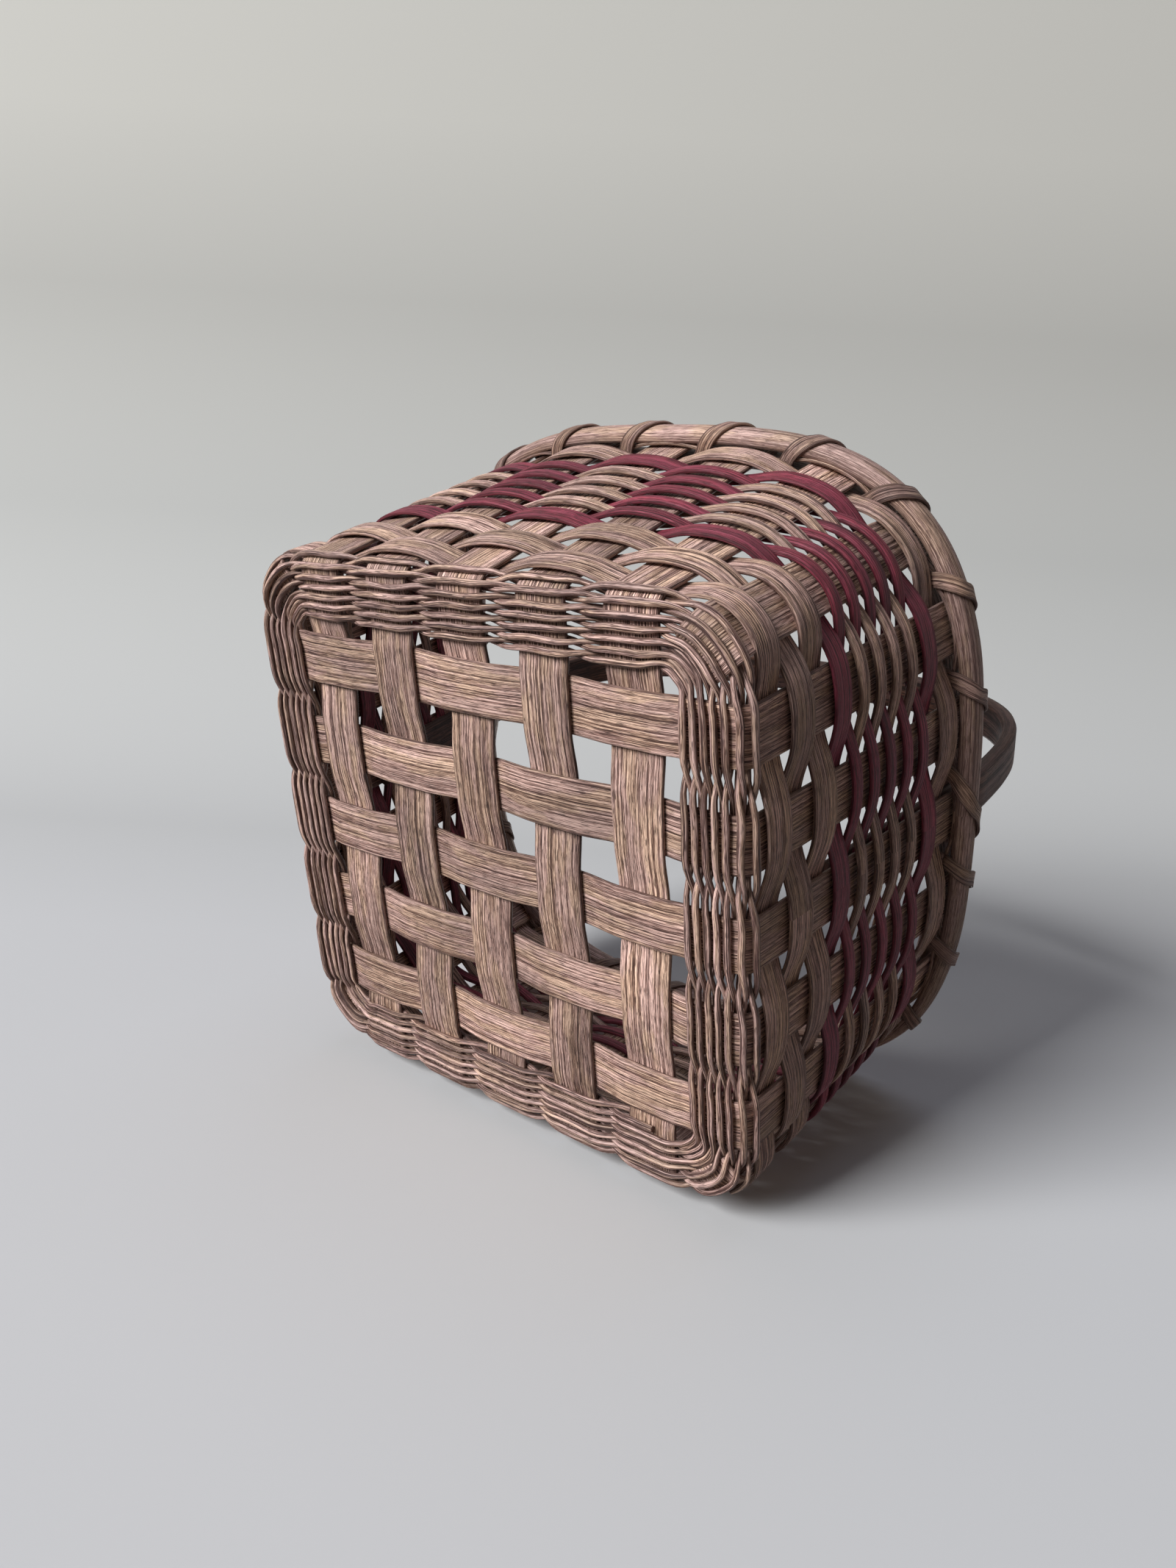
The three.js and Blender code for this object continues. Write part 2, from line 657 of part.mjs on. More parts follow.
addBaseStrips();
addCornerStakes();
place("twine_strand_a", twineStrand(-TRACK_OFFSET, true), BROWN);
place("twine_strand_b", twineStrand(TRACK_OFFSET, false), BROWN);
addRows();
addRimBands();
const lashing = lashingSections();
place("rim_lashing", loft(lashing, false), "rim");
console.log(`lashing: least gap to itself ${leastGap(lashing).toFixed(2)} mm`);
place("handle", loft(handleSections(), false), "handle");

export default basket;
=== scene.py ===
"""Dressed model of a square-bottomed market basket woven of stained flat reed.

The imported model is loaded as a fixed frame. Every reed, the rim and the handle are made again
here as finer closed surfaces in the places of their CAD nodes, and get the look of stained and
dyed reed. Sizes are in millimetres from the mid-plane of the woven base, as in the part's
source, and become metres in the CAD frame where a mesh is written.
"""
import logging
import math
from collections.abc import Callable
from dataclasses import dataclass, field
from enum import Enum

import bpy
import numpy as np
from mathutils import Matrix


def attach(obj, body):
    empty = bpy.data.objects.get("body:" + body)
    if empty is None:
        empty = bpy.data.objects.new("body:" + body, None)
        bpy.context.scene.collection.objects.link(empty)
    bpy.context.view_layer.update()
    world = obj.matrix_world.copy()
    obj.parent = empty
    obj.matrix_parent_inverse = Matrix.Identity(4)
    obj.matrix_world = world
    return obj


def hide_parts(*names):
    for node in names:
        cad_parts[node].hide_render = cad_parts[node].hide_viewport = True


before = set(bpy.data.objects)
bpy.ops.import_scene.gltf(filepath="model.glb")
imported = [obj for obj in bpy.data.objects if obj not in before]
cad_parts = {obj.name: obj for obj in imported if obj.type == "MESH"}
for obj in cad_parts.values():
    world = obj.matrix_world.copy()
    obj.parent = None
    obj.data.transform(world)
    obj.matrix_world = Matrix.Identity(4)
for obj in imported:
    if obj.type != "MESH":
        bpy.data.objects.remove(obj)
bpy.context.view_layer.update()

LOG = logging.getLogger("basket")
METRES = 0.001
UP = np.array([0.0, 0.0, 1.0])
# Height of the mid-plane of the woven base over the surface that the basket stands on
BASE_HEIGHT = 2.7
# Corners of flat reed as a share of half its thickness, width of the painted shade along its edges,
# and the points across a face as shares of its half width
CORNER_SHARE = 0.62
EDGE_SHADE_WIDTH = 0.9
FACE_PLACES = np.array([-1.0, -0.93, -0.75, -0.4, 0.0, 0.4, 0.75, 0.93, 1.0])
# Points across the dome of half-round reed, how full the dome is (1 would be an ellipse), and the
# points of its flat face as shares of its half width
DOME_POINTS = 17
DOME_FULLNESS = 0.75
FLAT_PLACES = np.array([0.6, 0.0, -0.6])
# How narrow the painted shade at the sides of round and of half-round reed is, as a power of sin a
ROUND_EDGE_SHADE = 3
HALF_ROUND_EDGE_SHADE = 6
# Each reed begins elsewhere in the grain: up to 3 m along it, and a step across it by its seed
GRAIN_REACH = 3.0
GRAIN_STEP = 0.37


# Small tools for arrays of points


def unit(vectors: np.ndarray) -> np.ndarray:
    """Vectors divided by their own length."""
    return vectors / np.linalg.norm(vectors, axis=-1, keepdims=True)


def without(vectors: np.ndarray, direction: np.ndarray) -> np.ndarray:
    """Vectors less their share along a unit direction: v - (v . d) d."""
    return vectors - np.sum(vectors * direction, axis=-1, keepdims=True) * direction


def ease(share: np.ndarray) -> np.ndarray:
    """Smooth step from 0 to 1: 3 t^2 - 2 t^3."""
    return share * share * (3 - 2 * share)


def bridge(
    first: np.ndarray, leave: np.ndarray, last: np.ndarray, meet: np.ndarray, t: np.ndarray
) -> np.ndarray:
    """Smooth line between two points that leaves and meets them in given directions.

    It is (2 t^3 - 3 t^2 + 1) p + (t^3 - 2 t^2 + t) u + (3 t^2 - 2 t^3) q + (t^3 - t^2) v.

    Args:
        first: the point p that it leaves.
        leave: direction u there, as long as the span.
        last: the point q that it comes to.
        meet: direction v there, as long as the span.
        t: shares of the way, from 0 to 1.

    Returns:
        Points of the line.
    """
    return (
        (2 * t**3 - 3 * t**2 + 1) * first
        + (t**3 - 2 * t**2 + t) * leave
        + (3 * t**2 - 2 * t**3) * last
        + (t**3 - t**2) * meet
    )


def wander(share: np.ndarray, slowest: int, fastest: int, seed: int) -> np.ndarray:
    """Smooth random curve of size about 1 that closes on itself.

    It is the sum over k of cos(2 pi f_k s + p_k), with whole numbers f_k and random phases p_k.

    Args:
        share: place along the piece, from 0 to 1.
        slowest: least number of waves along the piece.
        fastest: greatest number of waves along the piece.
        seed: seed of the random numbers.

    Returns:
        One value for each place.
    """
    rng = np.random.default_rng(seed)
    waves = 6
    counts = rng.integers(slowest, fastest + 1, waves)
    phases = rng.uniform(0, 2 * math.pi, waves)
    return np.cos(2 * math.pi * share[:, None] * counts + phases).sum(axis=1) / math.sqrt(waves)


@dataclass
class Path:
    """A line through space with the two directions that a reed's section is laid out in.

    Attributes:
        centre: points of the line, n by 3.
        out: direction out of the woven surface at each point.
        rise: direction across the reed in the surface at each point.
        closed: whether the last point joins the first.
        place: running number of the stake at each point, with its share of the way to the next.
        turn: number of stakes passed, which moves on only in the spaces between them.
    """

    centre: np.ndarray
    out: np.ndarray
    rise: np.ndarray
    closed: bool
    place: np.ndarray | None = None
    turn: np.ndarray | None = None

    def steps(self) -> np.ndarray:
        """Length from each point to the next.

        Returns:
            One length for each point; the last one of an open line is 0.
        """
        ahead = np.roll(self.centre, -1, axis=0) - self.centre
        lengths = np.linalg.norm(ahead, axis=1)
        if not self.closed:
            lengths[-1] = 0
        return lengths

    def share(self) -> np.ndarray:
        """Distance of each point along the line as a share of its whole length.

        Returns:
            One share for each point, from 0.
        """
        lengths = self.steps()
        run = np.concatenate([[0.0], np.cumsum(lengths)[:-1]])
        return run / lengths.sum()

    def tangent(self) -> np.ndarray:
        """Direction of the line: the difference of the points before and after.

        Returns:
            One unit vector for each point.
        """
        if self.closed:
            ahead = np.roll(self.centre, -1, axis=0) - np.roll(self.centre, 1, axis=0)
        else:
            ahead = np.gradient(self.centre, axis=0)
        return unit(ahead)

    def moved(self, out: np.ndarray | float, rise: np.ndarray | float) -> "Path":
        """The same line moved by distances out of and along the surface: c + out o + rise r.

        Args:
            out: distance out of the surface, one number or one for each point.
            rise: distance across the reed.

        Returns:
            A line whose directions stand square to its new course.
        """
        out_by = np.broadcast_to(out, len(self.centre))[:, None]
        rise_by = np.broadcast_to(rise, len(self.centre))[:, None]
        line = Path(
            self.centre + self.out * out_by + self.rise * rise_by,
            self.out, self.rise, self.closed, self.place, self.turn,
        )
        tangent = line.tangent()
        line.out = unit(without(self.out, tangent))
        line.rise = unit(without(without(self.rise, tangent), line.out))
        return line


@dataclass(frozen=True)
class Profile:
    """Section of a reed: points as (out, rise) in millimetres, and how near each is to an edge,
    which is how much painted shade it gets.
    """

    points: np.ndarray
    edge: np.ndarray

    def girth(self) -> np.ndarray:
        """Distance of each point round the section, with the whole girth at the end."""
        ahead = np.roll(self.points, -1, axis=0) - self.points
        return np.concatenate([[0.0], np.cumsum(np.linalg.norm(ahead, axis=1))])


def flat_profile(width: float, thickness: float, crown: float) -> Profile:
    """Flat reed: a rectangle with eased corners whose faces rise by crown (1 - r^2) in the middle.

    Args:
        width: width of the reed.
        thickness: thickness at its edges.
        crown: how much each face stands proud in the middle.

    Returns:
        The section, counted from the lower end of its outer face.
    """
    half, skin = width / 2, thickness / 2
    ease_by = CORNER_SHARE * skin
    across = FACE_PLACES * (half - ease_by)
    face = skin + crown * (1 - (across / half) ** 2)
    # Painted shade along both edges of the reed, full at the edge and gone a little way in
    near_edge_shade = np.clip((np.abs(across) - (half - EDGE_SHADE_WIDTH)) / EDGE_SHADE_WIDTH, 0, 1)
    shoulder = ease_by * (1 - math.sqrt(0.5))
    side_out = np.array([skin - shoulder, 0.0, -(skin - shoulder)])
    side_rise = np.array([half - shoulder, half, half - shoulder])
    outs = np.concatenate([face, side_out, -face[::-1], side_out[::-1]])
    rises = np.concatenate([across, side_rise, across[::-1], -side_rise])
    edges = np.concatenate([near_edge_shade, np.ones(3), near_edge_shade[::-1], np.ones(3)])
    return Profile(np.stack([outs, rises], axis=1), edges)


def round_profile(width: float, thickness: float, points: int = 12) -> Profile:
    """Round reed: an ellipse, (t/2 cos a, w/2 sin a).

    Args:
        width: width of the reed.
        thickness: thickness of the reed.
        points: number of points round it.

    Returns:
        The section, counted from its outer side.
    """
    angle = np.arange(points) / points * 2 * math.pi
    outs, rises = thickness / 2 * np.cos(angle), width / 2 * np.sin(angle)
    # Painted shade at the two sides across the reed
    return Profile(np.stack([outs, rises], axis=1), np.abs(np.sin(angle)) ** ROUND_EDGE_SHADE)


def half_round_profile(width: float, thickness: float, direction: int) -> Profile:
    """Half-round reed: a flat face and a dome, t cos(a)^f out and w/2 sin(a) across.

    Args:
        width: width of the reed.
        thickness: height of the dome over the flat face.
        direction: 1 for a dome that faces out of the basket, -1 for one that faces in.

    Returns:
        The section, counted from the lower end of the dome.
    """
    angle = np.linspace(-math.pi / 2, math.pi / 2, DOME_POINTS)
    dome = thickness * np.cos(angle).clip(0) ** DOME_FULLNESS
    outs = np.concatenate([dome, np.zeros(3)]) * direction
    rises = np.concatenate([width / 2 * np.sin(angle), width / 2 * FLAT_PLACES])
    # Painted shade where the dome comes down to the flat face, and none on the flat face
    edges = np.concatenate([np.abs(np.sin(angle)) ** HALF_ROUND_EDGE_SHADE, np.zeros(3)])
    return Profile(np.stack([outs, rises], axis=1), edges)


class Slot(Enum):
    """Material slots of the record."""

    STAKE = "stake_reed"
    TWINE = "twine_reed"
    BROWN = "weaver_brown"
    RED = "weaver_red"
    RIM = "rim_reed"
    LASHING = "lashing_reed"
    HANDLE = "handle_wood"


def add_object(name: str, data: bpy.types.ID) -> bpy.types.Object:
    """Puts a mesh, camera or lamp into the scene.

    Args:
        name: name of the object.
        data: what it shows.

    Returns:
        The new object.
    """
    made = bpy.data.objects.new(name, data)
    bpy.context.scene.collection.objects.link(made)
    return made


def add_values(mesh: bpy.types.Mesh, name: str, values: np.ndarray) -> None:
    """Gives each point of a mesh a number that its material can read.

    Args:
        mesh: the mesh.
        name: name of the attribute.
        values: one number for each point.
    """
    attribute = mesh.attributes.new(name, "FLOAT", "POINT")
    attribute.data.foreach_set("value", values.astype(np.float32))


@dataclass
class Reed:
    """One reed as a closed mesh: a section carried along a line.

    Each point is centre + out (a t - c b^2) + rise (b w), with the section's (a, b), the
    reed's changing share t of its thickness and w of its width, and its cupping c. The map
    "reed" gives metres along and round the reed. The attribute "edge" is painted shade, 1 at its
    edges and sides and 0 on its faces, and "tone" is how light the whole reed came out of the
    stain.
    """

    name: str
    path: Path
    profile: Profile
    slot: Slot
    seed: int
    widths: np.ndarray | float = 1.0
    thicknesses: np.ndarray | float = 1.0
    cups: np.ndarray | float = 0.0
    tone: float = 1.0

    def points(self) -> np.ndarray:
        """Points of the surface in millimetres.

        Returns:
            One section for each point of the line: sections by points by 3.
        """
        count = len(self.path.centre)
        widths = np.broadcast_to(self.widths, count)[:, None, None]
        thicknesses = np.broadcast_to(self.thicknesses, count)[:, None, None]
        cups = np.broadcast_to(self.cups, count)[:, None, None]
        outs, rises = self.profile.points[None, :, :1], self.profile.points[None, :, 1:]
        return (
            self.path.centre[:, None]
            + self.path.out[:, None] * (outs * thicknesses - cups * rises**2)
            + self.path.rise[:, None] * rises * widths
        )

    def faces(self, rings: int, size: int) -> tuple[np.ndarray, np.ndarray]:
        """Corners of the four-sided faces as (ring, place), wrapped and unwrapped.

        Args:
            rings: number of sections.
            size: number of points in a section.

        Returns:
            Point numbers of each face, and its ring and section numbers before wrapping.
        """
        spans = rings if self.path.closed else rings - 1
        ring, place = np.meshgrid(np.arange(spans), np.arange(size), indexing="ij")
        corners = np.stack(
            [
                np.stack([ring, place], -1),
                np.stack([ring, place + 1], -1),
                np.stack([ring + 1, place + 1], -1),
                np.stack([ring + 1, place], -1),
            ],
            axis=2,
        ).reshape(-1, 4, 2)
        numbers = (corners[..., 0] % rings) * size + corners[..., 1] % size
        return numbers, corners

    def build(self) -> bpy.types.Object:
        """Writes the mesh, its map and its attributes, and puts it on the basket's body.

        Returns:
            The finished object, which stands for the CAD node of its name.
        """
        grid = self.points()
        rings, size = grid.shape[:2]
        points = grid.reshape(-1, 3)
        numbers, corners = self.faces(rings, size)
        rng = np.random.default_rng(self.seed)
        starts = np.array([rng.uniform(0, GRAIN_REACH), self.seed * GRAIN_STEP])
        lengths = np.concatenate([[0.0], np.cumsum(self.path.steps())])
        lengths = np.append(lengths, lengths[-1])
        girth = self.profile.girth()
        maps = np.stack([lengths[corners[..., 0]], girth[corners[..., 1]]], -1)
        ends, end_maps = [], []
        if not self.path.closed:
            first = np.arange(size)
            flat = self.profile.points[:, ::-1]
            ends = [first[::-1], first + (rings - 1) * size]
            end_maps = [flat[::-1], flat + [lengths[-1], 0]]
        one, two, three = np.moveaxis(points[numbers[:, :3]] - points.mean(axis=0), 1, 0)
        way = -1 if np.sum(np.cross(one, two) * three) < 0 else 1
        faces = numbers[:, ::way].tolist() + [end[::way].tolist() for end in ends]
        loops = [maps[:, ::way].reshape(-1, 2)] + [end[::way] for end in end_maps]
        mesh = bpy.data.meshes.new(self.name + "_reed")
        placed = (points + UP * BASE_HEIGHT) * METRES
        mesh.from_pydata(placed.tolist(), [], faces)
        in_metres = np.concatenate(loops) * METRES + starts
        mesh.uv_layers.new(name="reed").data.foreach_set("uv", in_metres.ravel())
        # Painted shade along the edges and sides of the reed
        add_values(mesh, "edge", np.tile(self.profile.edge, rings))
        add_values(mesh, "tone", np.full(len(points), self.tone))
        mesh.polygons.foreach_set("use_smooth", np.arange(len(faces)) < len(numbers))
        mesh.update()
        piece = add_object(self.name + "_reed", mesh)
        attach(piece, "root")
        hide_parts(self.name)
        return piece


@dataclass(frozen=True)
class RowSize:
    """A side row: its name, width, height of its lower edge, dye and which stakes it passes."""

    name: str
    width: float
    bottom: float
    is_red: bool
    outside_even: bool


@dataclass
class BasketPlan:
    """Lay-out of the stakes and rows, from the same sizes as the CAD.

    A stake runs out from the base, round a bend and straight up to the mouth, a rounded square
    |x/a|^p + |y/b|^p = 1 on which the stakes stand at even distances.
    """

    clearance: float = 0.3
    reed_thickness: float = 1.2
    stake_width: float = 16.0
    stake_spacing: float = 28.0
    side_stakes: int = 6
    border_margin: float = 5.8
    twine_rounds: int = 7
    rounds_before_corners: int = 3
    track_offset: float = 0.73
    twine_width: float = 1.0
    bend_radius: float = 5.0
    last_round_degrees: float = 54.0
    twine_start: int = 4
    wide_row: float = 9.6
    medium_row: float = 7.2
    narrow_row: float = 4.0
    narrow_rows: int = 9
    mouth_flare: tuple[float, float] = (13.0, 19.9)
    mouth_squareness: float = 3.2
    band_width: float = 10.6
    lashing_thickness: float = 1.0
    mouth_samples: int = 8000
    rows: list[RowSize] = field(init=False)

    def __post_init__(self) -> None:
        """Works out the heights, then the direction, bend and climb of each stake."""
        self.count = 4 * self.side_stakes
        self.beside_middle = self.side_stakes // 2 - 1
        self.band_offset = 1.5 * self.reed_thickness + 2 * self.clearance
        self.twine_pitch = 4 * self.track_offset
        self.lattice_edge = self.beside_middle * self.stake_spacing + self.stake_width / 2
        self.first_round = self.lattice_edge + self.border_margin
        last_round = self.first_round + self.twine_pitch * (self.twine_rounds - 1)
        self.bend_start = last_round - self.bend_radius * math.radians(self.last_round_degrees)
        self.mouth_half = self.bend_start + self.bend_radius + np.array(self.mouth_flare)
        self.rows = self.plan_rows()
        top = self.rows[-1]
        self.rim_bottom = top.bottom + top.width + 2 * self.clearance + self.lashing_thickness
        self.rim_centre = self.rim_bottom + self.band_width / 2
        self.rim_top = self.rim_bottom + self.band_width
        self.plan_stakes()

    def plan_rows(self) -> list[RowSize]:
        """Widths, dyes and heights of the side rows.

        Returns:
            The rows from the base up; the lowest lies on the border's last round.
        """
        radius = self.bend_radius
        border = self.twine_pitch * (self.twine_rounds - 0.5) + self.track_offset
        angle = (self.first_round + border - self.bend_start) / radius
        bottom = (
            radius
            - (radius - BASE_HEIGHT) * math.cos(angle)
            + self.twine_width / 2 * math.sin(angle)
            + self.clearance
        )
        kinds = [(self.wide_row, False)] * 3 + [(self.medium_row, True)]
        kinds += [(self.narrow_row, i % 2 == 0) for i in range(self.narrow_rows)]
        kinds += [(self.medium_row, True), (self.wide_row, False)]
        rows = []
        for i, (width, is_red) in enumerate(kinds):
            name = f"side_row_{i + 1:02d}_{'red' if is_red else 'brown'}"
            rows.append(RowSize(name, width, bottom, is_red, i % 2 == 1))
            bottom += width + self.clearance
        return rows

    def mouth_places(self) -> tuple[np.ndarray, np.ndarray]:
        """Points at even distances round the mouth.

        Returns:
            The points, and the outward direction at each.
        """
        angle = np.linspace(0, 2 * math.pi, self.mouth_samples + 1)
        direction = np.stack([np.cos(angle), np.sin(angle)], axis=1)
        half, power = self.mouth_half, self.mouth_squareness
        radius = (np.abs(direction / half) ** power).sum(axis=1) ** (-1 / power)
        curve = direction * radius[:, None]
        run = np.append(0, np.cumsum(np.linalg.norm(np.diff(curve, axis=0), axis=1)))
        wanted = np.arange(self.count) / self.count * run[-1]
        points = np.stack([np.interp(wanted, run, curve[:, i]) for i in (0, 1)], axis=1)
        slope = np.sign(points) * np.abs(points / half) ** (power - 1) / half
        flat = np.zeros((self.count, 1))
        return np.hstack([points, flat]), unit(np.hstack([slope, flat]))

    def plan_stakes(self) -> None:
        """Direction, start, bend and climb of every stake, as arrays by stake number."""
        index = np.arange(self.count)
        place = (index + self.beside_middle) % self.count
        self.is_corner = place % self.side_stakes == self.side_stakes - 1
        angle = (place // self.side_stakes + np.where(self.is_corner, 0.5, 0)) * math.pi / 2
        self.outward = np.stack([np.cos(angle), np.sin(angle), 0 * angle], axis=1)
        self.along = np.stack([-np.sin(angle), np.cos(angle), 0 * angle], axis=1)
        rank = place % self.side_stakes - self.beside_middle
        sideways = np.where(self.is_corner, 0, rank * self.stake_spacing)
        reach = np.where(self.is_corner, self.lattice_edge * (math.sqrt(2) - 1), 0)
        self.start = self.along * sideways[:, None] + self.outward * reach[:, None]
        mouth, mouth_out = self.mouth_places()
        rim = mouth + UP * self.rim_centre
        run = np.sum(rim * self.outward, axis=1) - reach - self.bend_start
        rise = self.rim_centre - self.bend_radius
        self.bend_angle = np.arctan2(rise, run) + np.arcsin(self.bend_radius / np.hypot(run, rise))
        out_by = self.bend_start + self.bend_radius * np.sin(self.bend_angle)
        up_by = self.bend_radius * (1 - np.cos(self.bend_angle))
        self.bend_end = self.start + self.outward * out_by[:, None] + UP * up_by[:, None]
        self.wall_length = np.linalg.norm(rim - self.bend_end, axis=1)
        self.climb = unit(rim - self.bend_end)
        self.rim_along = np.cross(UP, mouth_out)

    def frame_at(self, number: np.ndarray, distance: np.ndarray) -> tuple[np.ndarray, ...]:
        """Middle of a stake and its directions at a distance along it from mid-base.

        In the bend of radius R the middle is start + out (d0 + R sin a) + up R (1 - cos a).

        Args:
            number: running numbers of the stakes.
            distance: distance along each stake.

        Returns:
            Centre, direction along the wall, direction up the stake and direction out of it.
        """
        i = np.asarray(number).astype(int) % self.count
        radius = self.bend_radius
        angle = np.clip((distance - self.bend_start) / radius, 0, self.bend_angle[i])
        climbed = np.maximum(distance - self.bend_start - radius * self.bend_angle[i], 0)
        out_by = np.minimum(distance, self.bend_start) + radius * np.sin(angle)
        up_by = radius * (1 - np.cos(angle))
        centre = self.start[i] + self.outward[i] * out_by[..., None] + UP * up_by[..., None]
        centre = centre + self.climb[i] * climbed[..., None]
        bend_climb = self.outward[i] * np.cos(angle)[..., None] + UP * np.sin(angle)[..., None]
        climb = np.where(climbed[..., None] > 0, self.climb[i], bend_climb)
        turn = (climbed / self.wall_length[i])[..., None]
        along = unit(without(self.along[i] * (1 - turn) + self.rim_along[i] * turn, climb))
        return centre, along, climb, np.cross(along, climb)

    def distance_at(self, number: np.ndarray, height: float) -> np.ndarray:
        """Distance along each stake at which its middle reaches a height.

        Args:
            number: running numbers of the stakes.
            height: height above the mid-plane of the base.

        Returns:
            One distance from mid-base for each stake, in the bend or on the wall.
        """
        i = np.asarray(number).astype(int) % self.count
        above = height - self.bend_end[i, 2]
        on_wall = self.bend_start + self.bend_radius * self.bend_angle[i] + above / self.climb[i, 2]
        low = np.clip(1 - height / self.bend_radius, -1, 1)
        in_bend = self.bend_start + self.bend_radius * np.arccos(low)
        return np.where(above >= 0, on_wall, in_bend)

    def round_path(
        self,
        numbers: np.ndarray,
        distance_of: Callable[[np.ndarray, np.ndarray], np.ndarray],
        flats: np.ndarray,
        closed: bool,
        turns: np.ndarray,
        rest: float,
        fine: int,
    ) -> Path:
        """A line round the basket that lies flat on each stake and swings over in the spaces.

        Args:
            numbers: running numbers of the stakes that it passes.
            distance_of: gives the distance along the stake from number and place beside it.
            flats: half length of the flat on each stake.
            closed: whether it comes back to its start.
            turns: number of stakes passed at each stake.
            rest: half length on each stake over which the reed keeps its side.
            fine: points on a flat and in a space.

        Returns:
            The line on the mid-plane of the stakes.
        """
        beside = np.linspace(-1, 1, fine)[None, :] * flats[:, None]
        stakes = np.repeat(numbers[:, None], fine, axis=1)
        centre, along, climb, face = self.frame_at(stakes, distance_of(stakes, beside))
        on_flat = centre + along * beside[..., None]
        following = np.roll(np.arange(len(numbers)), -1)
        share = (np.arange(fine) + 1) / (fine + 1)
        t = share[None, :, None]
        first, second = on_flat[:, -1:], on_flat[following, :1]
        reach = np.linalg.norm(second - first, axis=-1, keepdims=True)
        leave, meet = along[:, -1:] * reach, along[following, :1] * reach
        in_space = bridge(first, leave, second, meet, t)
        eased = ease(t)
        outs = unit(face[:, -1:] * (1 - eased) + face[following, :1] * eased)
        rises = unit(climb[:, -1:] * (1 - eased) + climb[following, :1] * eased)
        near = flats[:, None] / self.stake_spacing
        flat_places = stakes + beside / self.stake_spacing
        space_places = numbers[:, None] + near + share[None, :] * (1 - near - near[following])

        def joined(flat: np.ndarray, space: np.ndarray) -> np.ndarray:
            """Sets the values on each stake and in the space after it in one row.

            Args:
                flat: values on the stakes.
                space: values in the spaces.

            Returns:
                One value for each point of the line.
            """
            both = np.concatenate([flat, space], axis=1)
            both = both.reshape(-1, *both.shape[2:])
            return both if closed else both[:-fine]

        places = joined(flat_places, space_places)
        passed = np.append(turns, turns[-1] + 1.0)
        before = np.clip(np.floor(places - numbers[0]).astype(int), -1, len(numbers) - 1)
        held = rest / self.stake_spacing
        moved_on = ease(np.clip((places - numbers[0] - before - held) / (1 - 2 * held), 0, 1))
        known = np.maximum(before, 0)
        gone = passed[known] + (passed[known + 1] - passed[known]) * moved_on
        gone = np.where(before < 0, passed[0] - 1 + moved_on, gone)
        return Path(
            joined(on_flat, in_space), joined(face, outs), joined(climb, rises), closed,
            places, gone,
        )

    def level_path(
        self, height: float, flat: float, corner_flat: float, rest: float, fine: int = 10
    ) -> Path:
        """A closed line round the wall at one height.

        Args:
            height: height above the mid-plane of the base.
            flat: half length of the flats on the side stakes.
            corner_flat: half length of the flats on the corner stakes.
            rest: half length on each stake over which the reed keeps its side.
            fine: points on a flat and in a space.

        Returns:
            The line on the mid-plane of the stakes.
        """
        numbers = np.arange(self.count)
        return self.round_path(
            numbers,
            lambda stakes, beside: self.distance_at(stakes, height) + 0 * beside,
            np.where(self.is_corner, corner_flat, flat), True, numbers.astype(float), rest, fine,
        )


# Finishes


def linear(colour: str) -> tuple[float, float, float, float]:
    """An sRGB hex colour as linear red, green and blue, with an alpha of 1.

    Args:
        colour: six hex digits.

    Returns:
        Four numbers for a colour socket.
    """
    parts = [int(colour[i : i + 2], 16) / 255 for i in (0, 2, 4)]
    low = [part / 12.92 if part <= 0.04045 else ((part + 0.055) / 1.055) ** 2.4 for part in parts]
    return (*low, 1.0)


def grey(level: float) -> tuple[float, float, float, float]:
    """A share or a factor as a grey, for masks and for tones that multiply a colour."""
    return (level, level, level, 1.0)


def add_node(
    tree: bpy.types.NodeTree,
    kind: str,
    inputs: dict | None = None,
    stops: tuple[tuple[float, tuple], ...] = (),
    **settings: str,
) -> bpy.types.Node:
    """Adds a node with its settings, values and links.

    Args:
        tree: node tree that it goes in.
        kind: type of the node.
        inputs: for a socket's name or number, its value or the (node, output) linked to it.
        stops: places and colours of a colour ramp, in rising order.
        settings: settings of the node itself.

    Returns:
        The new node.
    """
    node = tree.nodes.new(kind)
    for name, value in settings.items():
        setattr(node, name, value)
    for socket, value in (inputs or {}).items():
        if isinstance(value, tuple) and isinstance(value[0], bpy.types.Node):
            tree.links.new(value[0].outputs[value[1]], node.inputs[socket])
        else:
            node.inputs[socket].default_value = value
    for number, (place, colour) in enumerate(stops):
        elements = node.color_ramp.elements
        element = elements[number] if number < len(elements) else elements.new(place)
        element.position, element.color = place, colour
    return node


def empty_material(name: str) -> bpy.types.Material:
    """A new material with no nodes on it.

    Args:
        name: name of the material.

    Returns:
        The material, ready for its nodes.
    """
    material = bpy.data.materials.new(name)
    material.use_nodes = True
    material.node_tree.nodes.clear()
    return material


@dataclass(frozen=True)
class Marks:
    """Noise drawn out along the fibre, by the real size of its marks in millimetres.

    Attributes:
        length: length of a mark along the reed.
        width: width of a mark across it.
        detail: octaves of finer noise.
        roughness: weight of the finer octaves.
    """

    length: float
    width: float
    detail: float = 1.0
    roughness: float = 0.5

    def scale(self) -> tuple[float, float, float]:
        """Marks in a metre along and across the reed, because the reed's map is in metres."""
        return 1 / (self.length * METRES), 1 / (self.width * METRES), 1.0


